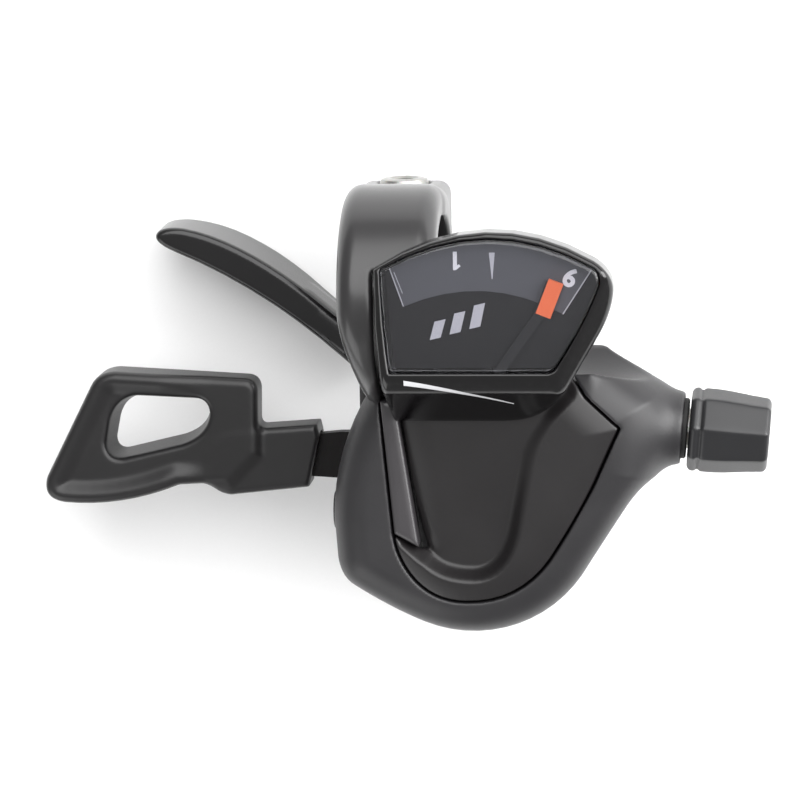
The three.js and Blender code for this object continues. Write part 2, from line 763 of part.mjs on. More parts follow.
// A pawl lying beside the ratchet: a round eye on its pin and a nose just clear of the tips of the teeth.
function pawlSolid([x, y], aim) {
  const low = level.ratchet;
  const high = low + thickness.ratchet;
  const turn = rad(aim);
  const nose = polygon([
    [0, -pawl.width / 2],
    [pawl.reach, -0.5],
    [pawl.reach, 0.5],
    [0, pawl.width / 2],
  ]);
  const blade = slabGeometry(nose, low, high).rotateZ(turn).translate(x, y, 0);
  return solid(blade)
    .add(rod(x, y, pawl.pinRadius + 0.9, low, high, 20))
    .subtract(rod(pivot.x, pivot.y, ratchet.tip + pawl.tipGap, low - 1, high + 1, 40))
    .subtract(rod(x, y, pawl.pinRadius + gap, low - 1, high + 1, 16));
}

// ---------------------------------------------------------------- thumb lever

const drivePivot = polar(pawl.orbit, 300);
const stopPlace = [pivot.x - 2.1, pivot.y + 12.3];

function drivePlate() {
  const low = level.drive;
  const high = low + thickness.drive;
  const lobe = slab(sector(4, pawl.orbit + 1.6, 292, 308), low, high);
  return ring(pivot.x, pivot.y, axle.radius + gap, 7.4, low, high, 28)
    .add(lobe)
    .add(ring(pivot.x, pivot.y, axle.radius + gap, sleeveRadius, thumb.foot, high, 28))
    .subtract(rod(pivot.x, pivot.y, axle.radius + gap, -40, 20, 28))
    .subtract(rod(...drivePivot, pawl.pinRadius + gap, -40, 20, 16));
}

// The thumb pad is a blade that follows an arc in plan and leans, so that its face looks a little upwards.
const pad = { top: -18.9, height: 12.0, lean: 0.2 };
const leaning = new THREE.Matrix4().makeShear(0, 0, 0, 0, 0, -pad.lean);
function padOutline() {
  const shape = new THREE.Shape();
  shape.moveTo(-16.5, 13.4);
  shape.quadraticCurveTo(-30.5, 26.6, -45.5, 32.8);
  shape.quadraticCurveTo(-49.5, 34.8, -45.5, 36);
  shape.quadraticCurveTo(-37, 36.6, -26.5, 27.4);
  shape.lineTo(-13.9, 17.1);
  return fromAxle(shape);
}

function thumbArm() {
  const low = thumb.foot;
  const high = low + thumb.thickness;
  const arm = polygon([
    polar(thumb.hub, thumb.rest + 75),
    polar(thumb.hub, thumb.rest - 75),
    ...thumbArmEnd.slice(1, 5),
  ]);
  return slab(arm, low, high)
    .add(rod(pivot.x, pivot.y, thumb.hub, low, high, 36))
    .subtract(rod(pivot.x, pivot.y, sleeveRadius + gap, low - 1, high + 1, 28));
}

// The arm's end, and the socket in the pad's root that it is moulded into.
const thumbArmEnd = [[1.5, 9], [-14.7, 16.3], [-23.9, 24], [-25.4, 22.3], [-16.3, 14.1], [-6.5, -5]].map(
  ([x, y]) => [pivot.x + x, pivot.y + y],
);
const padRoot = fromAxle(polygon([[-13.5, 16.6], [-17.1, 13], [-28.5, 23.4], [-24.5, 26.6]]));

function thumbPaddle() {
  const blade = slabGeometry(padOutline(), -pad.height, 0, 0.7)
    .applyMatrix4(leaning)
    .translate(0, 0, pad.top);
  const socket = slab(
    inset(polygon(thumbArmEnd), -gap),
    thumb.foot - gap,
    thumb.foot + thumb.thickness + gap,
  );
  return solid(blade).add(slab(padRoot, thumb.foot - 2.6, pad.top + 0.3, 0.5)).subtract(socket);
}

const thumbStop = () => rod(...stopPlace, 1.5, thumb.foot, plate.top, 18);

// ---------------------------------------------------------------- trigger

function triggerArm() {
  const low = trigger.foot;
  const high = low + trigger.thickness;
  const half = trigger.armWidth / 2;
  const arm = polygon([
    [trigger.x, trigger.y + half],
    [trigger.x - 8.5, trigger.y + half],
    [trigger.x - trigger.armLength, trigger.y + half - 1.2],
    [trigger.x - trigger.armLength, trigger.y - half + 0.2],
    [trigger.x - 8.5, trigger.y - half - 0.6],
    [trigger.x, trigger.y - half],
  ]);
  return slab(arm, low, high)
    .add(rod(trigger.x, trigger.y, trigger.hub, low, high, 28))
    .subtract(rod(trigger.x, trigger.y, trigger.pinRadius + gap, low - 1, high + 1, 20));
}

// The finger loop: a four-sided frame with round corners, and a sleeve over the steel arm.
const loop = { foot: -17.8, top: -10.4 };
function loopOutline() {
  const shape = new THREE.Shape();
  shape.moveTo(-32.1, 8.6);
  shape.lineTo(-32.1, 13.4);
  shape.quadraticCurveTo(-32.3, 15.2, -34.3, 15.1);
  shape.lineTo(-52.9, 16.2);
  shape.quadraticCurveTo(-55.3, 16.2, -56.3, 14.4);
  shape.lineTo(-64.1, 0.4);
  shape.quadraticCurveTo(-64.9, -2.8, -61.5, -3.2);
  shape.quadraticCurveTo(-52.5, -3.6, -43.9, -0.2);
  shape.lineTo(-36.5, -0.2);
  return fromAxle(shape);
}
function loopHole() {
  const shape = new THREE.Shape();
  shape.moveTo(-41.1, 11.6);
  shape.lineTo(-49.7, 12);
  shape.quadraticCurveTo(-52.3, 11.8, -53.1, 8.8);
  shape.lineTo(-53.7, 5.4);
  shape.quadraticCurveTo(-53.7, 3.8, -52.1, 4);
  shape.lineTo(-43.5, 6.2);
  shape.quadraticCurveTo(-40.1, 7.4, -39.9, 10);
  shape.quadraticCurveTo(-39.9, 11.6, -41.1, 11.6);
  return fromAxle(shape);
}
const sleeveOutline = () =>
  fromAxle(polygon([[-40.1, 5.4], [-37.7, 7.1], [-23.7, 8.1], [-23.5, 6.4], [-25.1, -0.8], [-37.9, -2.2]]));

function triggerPaddle() {
  const low = trigger.foot;
  const end = trigger.x - trigger.armLength - gap;
  const arm = polygon([
    [trigger.x - 3.5, trigger.y + 5.2],
    [end, trigger.y + 2.3],
    [end, trigger.y - 3.3],
    [trigger.x - 3.5, trigger.y - 5.8],
  ]);
  return slab(loopOutline(), loop.foot, loop.top, 1.0)
    .subtract(slab(loopHole(), loop.foot - 1, loop.top + 1))
    .add(slab(sleeveOutline(), loop.foot - 0.6, loop.top - 1.6, 0.6))
    .subtract(slab(arm, low - gap, low + trigger.thickness + gap));
}

// ---------------------------------------------------------------- cable adjuster

const adjusterCollar = () =>
  turned(
    [
      [barrel.bore, barrel.collarFrom],
      [barrel.neckRadius - 0.6, barrel.collarFrom],
      [barrel.neckRadius - 0.6, barrel.collarFrom + barrel.collar],
      [barrel.bore, barrel.collarFrom + barrel.collar],
      [barrel.bore, barrel.collarFrom],
    ],
    cableFrame,
    24,
  );

// Eight flats, a taper towards the outer end and a socket for the cable housing's ferrule.
function adjusterKnob() {
  const from = barrel.knobFrom;
  const to = from + barrel.length;
  return turned(
    [
      [0, from],
      [barrel.bigRadius - 0.5, from],
      [barrel.bigRadius, from + 0.8],
      [barrel.bigRadius, from + 3.2],
      [barrel.smallRadius, to - 0.8],
      [barrel.smallRadius - 0.6, to],
      [0, to],
    ],
    cableFrame,
    8,
  )
    .subtract(turnedRod(barrel.bore, from - 1, to - barrel.seatDepth - 1, cableFrame, 24))
    .subtract(turnedRod(1.4, from, to, cableFrame, 16))
    .subtract(turnedRod(barrel.seat, to - barrel.seatDepth, to + 1, cableFrame, 24));
}

function adjusterScrew() {
  const to = barrel.knobFrom + barrel.length - barrel.seatDepth - 1 - gap;
  return turnedRod(barrel.bore - gap, barrel.screwFrom, to, cableFrame, 24).subtract(
    turnedRod(1.3, barrel.screwFrom - 1, to + 1, cableFrame, 16),
  );
}

// ---------------------------------------------------------------- the part

addPart("clamp_band", clampBand(), finishes.clamp);
addPart("clamp_bolt", clampBolt(), finishes.steel);
addPart("clamp_nut", clampNut(), finishes.steel);
addPart("housing", housingShell(), finishes.housing);
addPart("top_cover", topCover(), finishes.cover);
addPart("side_trim", sideTrim(), finishes.cover);
addPart("cable_port_plug", cablePortPlug(), finishes.knob);
addPart("base_plate", basePlate(), finishes.black_steel);
screwPlaces.forEach(([x, y], i) => {
  addPart(`case_screw_${i + 1}`, panScrew(x, y, screw.length), finishes.steel);
});
addPart("bracket_screw", panScrew(bracketScrew.x, bracketScrew.y, bracketScrew.length), finishes.steel);
addPart("main_axle", mainAxle(), finishes.steel);
addPart("axle_nut", axleNut(), finishes.steel);
addPart("axle_bush", axleBush(), finishes.brass);
addPart("bottom_cap", bottomCap(), finishes.housing);
addPart("spool_spring", spiralSpring(), finishes.steel);
const springFoot = { thumb: thumb.foot + thumb.thickness, trigger: trigger.foot + trigger.thickness + gap };
addPart("thumb_spring", coil(pivot.x, pivot.y, 6.0, 1.1, springFoot.thumb, 2.2), finishes.steel);
addPart("trigger_spring", coil(trigger.x, trigger.y, 3.2, 0.6, springFoot.trigger, 1.2), finishes.steel);
addPart("trigger_pin", triggerPin(), finishes.steel);
addPart("holding_pawl_pin", pawlPin(holdingPivot, plate.foot), finishes.steel);
addPart("thumb_stop", thumbStop(), finishes.rubber);
addPart("display_bezel", displayBezel(), finishes.gloss);
addPart("dial_plate", dialPlate(), finishes.dial);
addPart("display_lens", displayLens(), finishes.lens);

addPart("indicator_needle", indicatorNeedle(), finishes.orange);
addPart("cable_spool", cableSpool(), finishes.nylon);
addPart("ratchet_wheel", ratchetWheel(), finishes.steel);
addPart("holding_pawl", pawlSolid(holdingPivot, 88), finishes.steel);

addPart("drive_plate", drivePlate(), finishes.steel);
addPart("drive_pawl", pawlSolid(drivePivot, 52), finishes.steel);
addPart("drive_pawl_pin", pawlPin(drivePivot, level.drive), finishes.steel);
addPart("thumb_arm", thumbArm(), finishes.black_steel);
addPart("thumb_paddle", thumbPaddle(), finishes.grip);

addPart("trigger_arm", triggerArm(), finishes.black_steel);
addPart("trigger_paddle", triggerPaddle(), finishes.grip);

addPart("adjuster_collar", adjusterCollar(), finishes.rubber);
addPart("barrel_adjuster", adjusterKnob(), finishes.knob);
addPart("adjuster_screw", adjusterScrew(), finishes.steel);

export default parts;
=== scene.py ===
"""The finished looks of a right-hand trigger shifter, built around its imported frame.

Sizes are millimetres in the frame's own axes: the origin is the centre of the clamp's bore, +X runs
along the handlebar towards the stem, +Y points at the rider and +Z is up. Meshes are written in metres.
"""

import json
import logging
import math
from collections.abc import Callable, Sequence
from dataclasses import dataclass
from enum import Enum

import bpy
import numpy as np
from mathutils import Matrix, Vector

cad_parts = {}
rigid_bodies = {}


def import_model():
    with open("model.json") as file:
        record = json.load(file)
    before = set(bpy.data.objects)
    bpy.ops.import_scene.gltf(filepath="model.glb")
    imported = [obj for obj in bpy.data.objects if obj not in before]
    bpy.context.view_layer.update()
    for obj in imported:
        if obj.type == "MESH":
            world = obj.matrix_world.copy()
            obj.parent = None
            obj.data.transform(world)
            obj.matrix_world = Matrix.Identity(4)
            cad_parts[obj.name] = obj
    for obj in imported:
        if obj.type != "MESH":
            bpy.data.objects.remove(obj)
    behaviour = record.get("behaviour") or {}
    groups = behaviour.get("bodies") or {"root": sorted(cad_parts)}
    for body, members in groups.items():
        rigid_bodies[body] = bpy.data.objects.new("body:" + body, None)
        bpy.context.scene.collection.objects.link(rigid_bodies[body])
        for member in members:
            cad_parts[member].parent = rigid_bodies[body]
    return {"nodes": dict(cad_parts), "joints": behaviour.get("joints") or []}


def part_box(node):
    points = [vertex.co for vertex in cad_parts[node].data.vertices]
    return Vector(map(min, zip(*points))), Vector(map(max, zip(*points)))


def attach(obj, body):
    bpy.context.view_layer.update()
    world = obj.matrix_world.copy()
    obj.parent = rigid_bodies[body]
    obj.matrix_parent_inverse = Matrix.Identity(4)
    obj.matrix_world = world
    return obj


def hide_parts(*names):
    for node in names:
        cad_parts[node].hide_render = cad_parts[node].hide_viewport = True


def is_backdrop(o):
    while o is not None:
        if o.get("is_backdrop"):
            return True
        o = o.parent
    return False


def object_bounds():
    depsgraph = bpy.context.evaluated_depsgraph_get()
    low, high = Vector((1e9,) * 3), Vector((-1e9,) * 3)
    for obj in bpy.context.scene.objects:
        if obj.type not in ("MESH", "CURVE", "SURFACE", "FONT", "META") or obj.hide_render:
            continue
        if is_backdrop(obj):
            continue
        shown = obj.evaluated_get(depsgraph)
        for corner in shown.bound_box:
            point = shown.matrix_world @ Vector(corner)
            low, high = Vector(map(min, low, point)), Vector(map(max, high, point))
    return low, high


for stray in list(bpy.data.objects):
    bpy.data.objects.remove(stray)
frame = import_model()

MM = 0.001
log = logging.getLogger("shifter")

Array = np.ndarray
Point = tuple[float, float]
Field = Callable[[Array, Array, Array], Array]


# ---------------------------------------------------------------- places taken from the frame


@dataclass(frozen=True)
class Span:
    """A CAD node's box, in millimetres."""

    low: Array
    high: Array

    @classmethod
    def of(cls, node: str) -> "Span":
        """The box of a named node."""
        low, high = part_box(node)
        return cls(np.array(low) / MM, np.array(high) / MM)

    @property
    def centre(self) -> Array:
        """The middle of the box."""
        return (self.low + self.high) / 2


def joint_axis(name: str) -> Array:
    """The unit axis of a joint.

    Args:
        name: the joint's name.

    Returns:
        The axis, as a vector of length 1.
    """
    found = next(joint for joint in frame["joints"] if joint["name"] == name)
    axis = np.array(found["axis"], float)
    return axis / np.linalg.norm(axis)


AXLE = Span.of("main_axle").centre
CLAMP = Span.of("clamp_band")
HOUSING = Span.of("housing")
COVER = Span.of("top_cover")
TRIM = Span.of("side_trim")
BEZEL = Span.of("display_bezel")
LENS = Span.of("display_lens")
DIAL = Span.of("dial_plate")
NEEDLE = Span.of("indicator_needle")
SCREW = Span.of("adjuster_screw")
KNOB = Span.of("barrel_adjuster")
PAD = Span.of("thumb_paddle")
LOOP = Span.of("trigger_paddle")
BAR_RADIUS = 11.1
BAR_ROOM = 11.8  # radius that the housing and the display keep clear round the bar
SHARP = math.radians(35)  # edges steeper than this stay sharp in the turned and flat pieces
NEEDLE_SWEEP = (2.4, 18.0)  # the distances along X that the needle's arm moves between


# ---------------------------------------------------------------- outlines


def arc(radius: float, start: float, end: float, step: float = 6.0) -> list[Point]:
    """Straight moves that follow an arc about an outline's own origin.

    Args:
        radius: the arc's radius.
        start: its first angle, in degrees.
        end: its last angle, in degrees.
        step: the largest angle of one move, in degrees.

    Returns:
        One move for each point on the arc.
    """
    count = max(2, round(abs(end - start) / step) + 1)
    angles = np.radians(np.linspace(start, end, count))
    return [(radius * math.cos(a), radius * math.sin(a)) for a in angles]


@dataclass(frozen=True)
class Outline:
    """A closed outline in a plane, as its points in order."""

    points: Array

    @classmethod
    def drawn(cls, start: Point, *moves: Sequence[float], about: Sequence[float] = (0, 0)) -> "Outline":
        """Draws an outline.

        Args:
            start: the first point.
            moves: each is the end of a straight line, or the control point of a curve and then its end.
            about: the place that the points are measured from.

        Returns:
            The outline, in the frame's axes.
        """
        points = [np.array(start, float)]
        for move in moves:
            end = np.array(move[-2:], float)
            if len(move) == 2:
                points.append(end)
                continue
            here, bend = points[-1], np.array(move[:2], float)
            for t in np.linspace(0, 1, 9)[1:]:
                points.append((1 - t) ** 2 * here + 2 * t * (1 - t) * bend + t * t * end)
        kept = [p for p, q in zip(points, points[1:] + points[:1]) if np.linalg.norm(p - q) > 1e-6]
        return cls(np.array(kept) + np.array(about[:2]))

    def distance(self, x: Array, y: Array) -> Array:
        """The distance of each place from the outline.

        Args:
            x: the places' first coordinates.
            y: their second coordinates.

        Returns:
            The distances, negative inside.
        """
        nearest: Array | float = np.inf
        inside = np.zeros(np.broadcast(x, y).shape, bool)
        for (ax, ay), (bx, by) in zip(self.points, np.roll(self.points, -1, axis=0)):
            ex, ey = bx - ax, by - ay
            t = np.clip(((x - ax) * ex + (y - ay) * ey) / (ex * ex + ey * ey), 0, 1)
            nearest = np.minimum(nearest, (x - ax - t * ex) ** 2 + (y - ay - t * ey) ** 2)
            if ay != by:
                inside ^= ((ay > y) != (by > y)) & (x < ax + (y - ay) * ex / ey)
        return np.where(inside, -1, 1) * np.sqrt(nearest)


def polar(radius: float, degrees: float) -> Point:
    """A point at a distance and an angle from an outline's own origin."""
    return radius * math.cos(math.radians(degrees)), radius * math.sin(math.radians(degrees))


# ---------------------------------------------------------------- shapes as distance fields


def round_max(a: Array, b: Array, radius: float) -> Array:
    """What two shapes share, with the edge where they meet rounded to a radius."""
    outer = np.sqrt(np.maximum(radius + a, 0) ** 2 + np.maximum(radius + b, 0) ** 2)
    return np.minimum(-radius, np.maximum(a, b)) + outer


def round_min(a: Array, b: Array, radius: float) -> Array:
    """Two shapes joined, with a fillet of a radius where they meet."""
    return -round_max(-a, -b, radius)


def cut(a: Array, b: Array, radius: float = 0.2) -> Array:
    """The first shape with the second taken out of it, and the cut's edge rounded."""
    return round_max(a, -b, radius)


def away_from(x: Array, y: Array, centre: Sequence[float] = (0, 0)) -> Array:
    """The distance of places from a point in their plane."""
    return np.hypot(x - centre[0], y - centre[1])


def layer(z: Array, low: float, high: float) -> Array:
    """The distance from a flat layer between two places on an axis, negative inside."""
    return np.abs(z - (low + high) / 2) - (high - low) / 2


def smooth_step(value: Array, low: float, high: float) -> Array:
    """0 below low, 1 above high and a smooth rise between them."""
    t = np.clip((value - low) / (high - low), 0, 1)
    return t * t * (3 - 2 * t)


@dataclass
class Skin:
    """A mesh of even quads laid on a shape's surface, with the field's own normals."""

    points: Array
    quads: Array
    normals: Array


CORNERS = np.array([(i, j, k) for i in (0, 1) for j in (0, 1) for k in (0, 1)])
EDGES = [(a, b) for a in range(8) for b in range(a + 1, 8) if np.abs(CORNERS[a] - CORNERS[b]).sum() == 1]


def sampled(values: Array, places: Array) -> Array:
    """A grid's values at places between its points.

    Args:
        values: the grid.
        places: where to read it, in cells.

    Returns:
        One value for each place.
    """
    low = np.clip(places.astype(int), 0, np.array(values.shape) - 2)
    part = places - low
    total = np.zeros(len(places))
    for corner in CORNERS:
        weight = np.prod(np.where(corner, part, 1 - part), axis=1)
        total += weight * values[tuple((low + corner).T)]
    return total


def skin(shape: Field, low: Sequence[float], high: Sequence[float], step: float) -> Skin:
    """Lays a mesh on the surface where a field is zero.

    Args:
        shape: gives the distance from the surface, negative inside.
        low: the lowest corner of the box that holds the shape.
        high: the highest corner.
        step: the mesh's spacing.

    Returns:
        The mesh, in millimetres.
    """
    start = np.array(low, float) - 2 * step
    axes = [np.arange(a, b + 2.5 * step, step) for a, b in zip(start, high)]
    grid = np.meshgrid(*axes, indexing="ij", sparse=True)
    values = np.array(np.broadcast_to(shape(*grid), [len(a) for a in axes]), float)
    for axis in range(3):
        ends = [slice(None)] * 3
        for end in (0, -1):
            ends[axis] = end
            values[tuple(ends)] = np.maximum(values[tuple(ends)], step)
    inside = values < 0
    cells = tuple(n - 1 for n in values.shape)
    corners = (tuple(slice(c, c + n) for c, n in zip(corner, cells)) for corner in CORNERS)
    count = sum(inside[part].astype(np.int8) for part in corners)
    active = (count > 0) & (count < 8)
    index = np.full(cells, -1)
    index[active] = np.arange(active.sum())
    places = np.argwhere(active)
    total, crossings = np.zeros((len(places), 3)), np.zeros((len(places), 1))
    for a, b in EDGES:
        at, to = values[tuple((places + CORNERS[a]).T)], values[tuple((places + CORNERS[b]).T)]
        crossed = (at < 0) != (to < 0)
        share = at[crossed] / (at[crossed] - to[crossed])
        total[crossed] += CORNERS[a] + share[:, None] * (CORNERS[b] - CORNERS[a])
        crossings[crossed] += 1
    points = places + total / crossings
    slopes = np.gradient(values)
    for _ in range(2):
        slope = np.stack([sampled(s, points) for s in slopes], axis=1)
        size = np.maximum((slope**2).sum(1), 1e-9)
        move = slope * (sampled(values, points) / size)[:, None]
        points = points - np.clip(move, -0.4, 0.4)
    slope = np.stack([sampled(s, points) for s in slopes], axis=1)
    normals = slope / np.maximum(np.linalg.norm(slope, axis=1), 1e-9)[:, None]
    return Skin(start + points * step, crossing_quads(inside, index), normals)


def crossing_quads(inside: Array, index: Array) -> Array:
    """The quads round every grid edge that crosses the surface.

    Args:
        inside: whether each grid point is inside.
        index: each cell's point on the surface.

    Returns:
        The quads, facing out.
    """
    quads = []
    for axis in range(3):
        across, up = (axis + 1) % 3, (axis + 2) % 3
        here, there = [slice(None)] * 3, [slice(None)] * 3
        here[axis], there[axis] = slice(0, -1), slice(1, None)
        before, after = inside[tuple(here)], inside[tuple(there)]
        edges = np.argwhere(before != after)
        leaving = before[tuple(edges.T)]
        ring = []
        for a, b in ((-1, -1), (0, -1), (0, 0), (-1, 0)):
            cell = edges.copy()
            cell[:, across] += a
            cell[:, up] += b
            ring.append(index[tuple(cell.T)])
        quad = np.stack(ring, axis=1)
        quads.append(np.where(leaving[:, None], quad, quad[:, ::-1]))
    return np.concatenate(quads)


def mesh_piece(
    name: str, points: Array, faces: Array | list, normals: Array | None = None
) -> bpy.types.Object:
    """Makes a smooth-shaded object.

    Args:
        name: the object's name.
        points: its points, in millimetres.
        faces: the points of each face, in order.
        normals: the surface's direction at each point, where it is known.

    Returns:
        The object, in the scene.
    """
    mesh = bpy.data.meshes.new(name)
    mesh.from_pydata((np.asarray(points) * MM).tolist(), [], [list(map(int, f)) for f in faces])
    mesh.polygons.foreach_set("use_smooth", [True] * len(mesh.polygons))
    if normals is not None:
        mesh.normals_split_custom_set_from_vertices(np.asarray(normals).tolist())
    mesh.update()
    made = bpy.data.objects.new(name, mesh)
    bpy.context.scene.collection.objects.link(made)
    return made


def moulding(name: str, shape: Field, span: Span, margin: float | Array, step: float) -> bpy.types.Object:
    """Makes the object whose surface is where a field is zero.

    Args:
        name: the object's name.
        shape: gives the distance from the surface, negative inside.
        span: the box of the CAD node that it stands for.
        margin: how far the shape may pass that box.
        step: the mesh's spacing.

    Returns:
        The object.
    """
    made = skin(shape, span.low - margin, span.high + margin, step)
    return mesh_piece(name, made.points, made.quads, made.normals)


def turned(name: str, profile: Sequence[Point], place: Matrix, sides: int = 64) -> bpy.types.Object:
    """Makes a turned piece.

    Args:
        name: the object's name.
        profile: pairs of radius and distance along the axis, from one end to the other.
        place: puts the local Z axis on the piece's own axis, in millimetres.
        sides: the number of faces round it.

    Returns:
        The object, with its sharp edges marked.
    """
    points, faces, rings = [], [], []
    for radius, along in profile:
        if radius < 1e-6:
            rings.append([len(points)] * sides)
            points.append(place @ Vector((0, 0, along)))
            continue
        rings.append(list(range(len(points), len(points) + sides)))
        for i in range(sides):
            a = 2 * math.pi * i / sides
            points.append(place @ Vector((radius * math.cos(a), radius * math.sin(a), along)))
    for lower, upper in zip(rings, rings[1:]):
        for i in range(sides):
            j = (i + 1) % sides
            corners = [lower[i], lower[j], upper[j], upper[i]]
            faces.append(list(dict.fromkeys(corners)))
    made = mesh_piece(name, np.array(points), faces)
    made.data.set_sharp_from_angle(angle=SHARP)
    return made


def plate(name: str, outline: Outline, low: float, high: float) -> bpy.types.Object:
    """Makes a thin flat piece with sharp edges.

    Args:
        name: the object's name.
        outline: its outline from above.
        low: the height of its underside.
        high: the height of its top.

    Returns:
        The object.
    """
    ring = outline.points
    if np.dot(ring[:, 0], np.roll(ring[:, 1], -1)) < np.dot(ring[:, 1], np.roll(ring[:, 0], -1)):
        ring = ring[::-1]
    n = len(ring)
    points = [(x, y, z) for z in (low, high) for x, y in ring]
    faces = [list(range(n))[::-1], list(range(n, 2 * n))]
    faces += [[i, (i + 1) % n, n + (i + 1) % n, n + i] for i in range(n)]
    made = mesh_piece(name, np.array(points), faces)
    made.data.set_sharp_from_angle(angle=SHARP)
    return made


def bar_between(start: Point, end: Point, width: float) -> Outline:
    """A straight bar between two points.

    Args:
        start: the middle of one end.
        end: the middle of the other end.
        width: the bar's width.

    Returns:
        Its outline.
    """
    a, b = np.array(start), np.array(end)
    side = np.array([a[1] - b[1], b[0] - a[0]]) / np.linalg.norm(b - a) * width / 2
    return Outline(np.array([a + side, b + side, b - side, a - side]))


def along_axis(origin: Sequence[float], axis: Sequence[float]) -> Matrix:
    """The placing that puts local Z on an axis through a point."""
    turn = Vector(axis).to_track_quat("Z", "Y").to_matrix().to_4x4()
    return Matrix.Translation(Vector(origin)) @ turn


# ---------------------------------------------------------------- finishes


def linear(colour: str) -> tuple[float, float, float, float]:
    """Turns a colour into the linear values that shaders take.

    Args:
        colour: the sRGB colour, as six hex digits.

    Returns:
        Its red, green, blue and alpha.
    """
    channels = [int(colour[i : i + 2], 16) / 255 for i in (0, 2, 4)]
    r, g, b = ((c + 0.055) ** 2.4 / 1.055**2.4 if c > 0.04045 else c / 12.92 for c in channels)
    return r, g, b, 1.0


def add(
    tree: bpy.types.NodeTree, kind: str, settings: dict | None = None, links: dict | None = None
) -> bpy.types.Node:
    """Adds a node.

    Args:
        tree: the material's nodes.
        kind: the node's type.
        settings: its attributes, or the values of its sockets, by name or number.
        links: the outputs that feed its sockets, by name or number.

    Returns:
        The node.
    """
    node = tree.nodes.new(kind)
    for name, value in (settings or {}).items():
        if isinstance(name, str) and hasattr(node, name):
            setattr(node, name, value)
        else:
            node.inputs[name].default_value = value
    for name, output in (links or {}).items():
        tree.links.new(output, node.inputs[name])
    return node


def noise(
    tree: bpy.types.NodeTree, place: bpy.types.NodeSocket, size_mm: float, detail: float
) -> bpy.types.Node:
    """Adds noise with features of a size."""
    return add(tree, "ShaderNodeTexNoise", {"Scale": 1 / (size_mm * MM), "Detail": detail}, {"Vector": place})


def blend(
    tree: bpy.types.NodeTree, low: str, high: str, factor: bpy.types.NodeSocket
) -> bpy.types.NodeSocket:
    """Mixes two colours by a factor."""
    colours = {"data_type": "RGBA", 6: linear(low), 7: linear(high)}
    return add(tree, "ShaderNodeMix", colours, {0: factor}).outputs[2]


def new_material(name: str) -> tuple[bpy.types.Material, bpy.types.NodeTree, bpy.types.NodeSocket]:
    """Starts a material.

    Args:
        name: its name.

    Returns:
        The material, its nodes and the piece's own coordinates.
    """
    material = bpy.data.materials.new(name)
    material.use_nodes = True
    material.node_tree.nodes.clear()
    place = add(material.node_tree, "ShaderNodeTexCoord")
    return material, material.node_tree, place.outputs["Object"]


def finished(tree: bpy.types.NodeTree, shader: bpy.types.Node) -> None:
    """Connects a shader to the material's output."""
    add(tree, "ShaderNodeOutputMaterial", links={"Surface": shader.outputs[0]})


@dataclass(frozen=True)
class Texture:
    """What breaks up a surface: noise for its roughness, and noise for its relief."""

    rough_mm: float  # spacing of the rougher and smoother places
    rough_detail: float
    rough_range: tuple[float, float]
    relief_mm: float  # height of the relief
    relief_strength: float
    relief_spacing_mm: float = 0.0  # 0 uses the roughness's own noise
    relief_detail: float = 2.0
    noise_from: tuple[float, float] = (0.0, 1.0)  # the noise values that give the ends of the range

    def surface(
        self, tree: bpy.types.NodeTree, place: bpy.types.NodeSocket, settings: dict, links: dict
    ) -> None:
        """Finishes a material with a textured surface.

        Args:
            tree: the material's nodes.
            place: the coordinates that the noise follows.
            settings: the surface shader's own values.
            links: the outputs that feed it besides its roughness and relief.
        """
        relief = grain = noise(tree, place, self.rough_mm, self.rough_detail)
        span = dict(zip(("From Min", "From Max", "To Min", "To Max"), self.noise_from + self.rough_range))
        rough = add(tree, "ShaderNodeMapRange", span, {"Value": grain.outputs["Fac"]})
        if self.relief_spacing_mm:
            relief = noise(tree, place, self.relief_spacing_mm, self.relief_detail)
        height = {"Strength": self.relief_strength, "Distance": self.relief_mm * MM}
        bump = add(tree, "ShaderNodeBump", height, {"Height": relief.outputs["Fac"]})
        links = links | {"Roughness": rough.outputs[0], "Normal": bump.outputs[0]}
        finished(tree, add(tree, "ShaderNodeBsdfPrincipled", settings, links))


@dataclass(frozen=True)
class Moulded:
    """Injection-moulded plastic with a fine spark-eroded texture from its mould."""

    name: str
    colour: str
    tint: str  # the colour of its lighter, rubbed places
    roughness: float
    texture_mm: float = 0.35  # spacing of the texture's grains
    relief_mm: float = 0.012
    rubbed_mm: float = 9.0  # spacing of the rubbed places
    ior: float = 1.5

    def material(self) -> bpy.types.Material:
        """Soft satin gloss that breaks up slightly, as on glass-filled nylon.

        Returns:
            The material.
        """
        material, tree, place = new_material(self.name)
        flow = noise(tree, place, self.rubbed_mm, 2.0)
        ends = {"From Min": 0.35, "From Max": 0.8}
        rubbed = add(tree, "ShaderNodeMapRange", ends, {"Value": flow.outputs["Fac"]})
        colour = blend(tree, self.colour, self.tint, rubbed.outputs[0])
        rough = (self.roughness - 0.05, self.roughness + 0.06)
        texture = Texture(self.texture_mm, 3.0, rough, self.relief_mm, 0.6)
        texture.surface(tree, place, {"IOR": self.ior}, {"Base Color": colour})
        return material


@dataclass(frozen=True)
class Glossy:
    """Plastic polished in its mould, such as black ABS round a display."""

    name: str
    colour: str
    roughness: float
    ior: float = 1.52
    ripple_mm: float = 6.0  # spacing of the faint waves of a moulded surface
    dust_mm: float = 0.8  # spacing of the dust

    def material(self) -> bpy.types.Material:
        """Deep gloss with faint waves and fine dust that dull it in places.

        Returns:
            The material.
        """
        material, tree, place = new_material(self.name)
        rough = (self.roughness, self.roughness + 0.07)
        texture = Texture(self.dust_mm, 4.0, rough, 0.02, 0.25, self.ripple_mm, 1.0, (0.4, 0.75))
        texture.surface(tree, place, {"Base Color": linear(self.colour), "IOR": self.ior}, {})
        return material


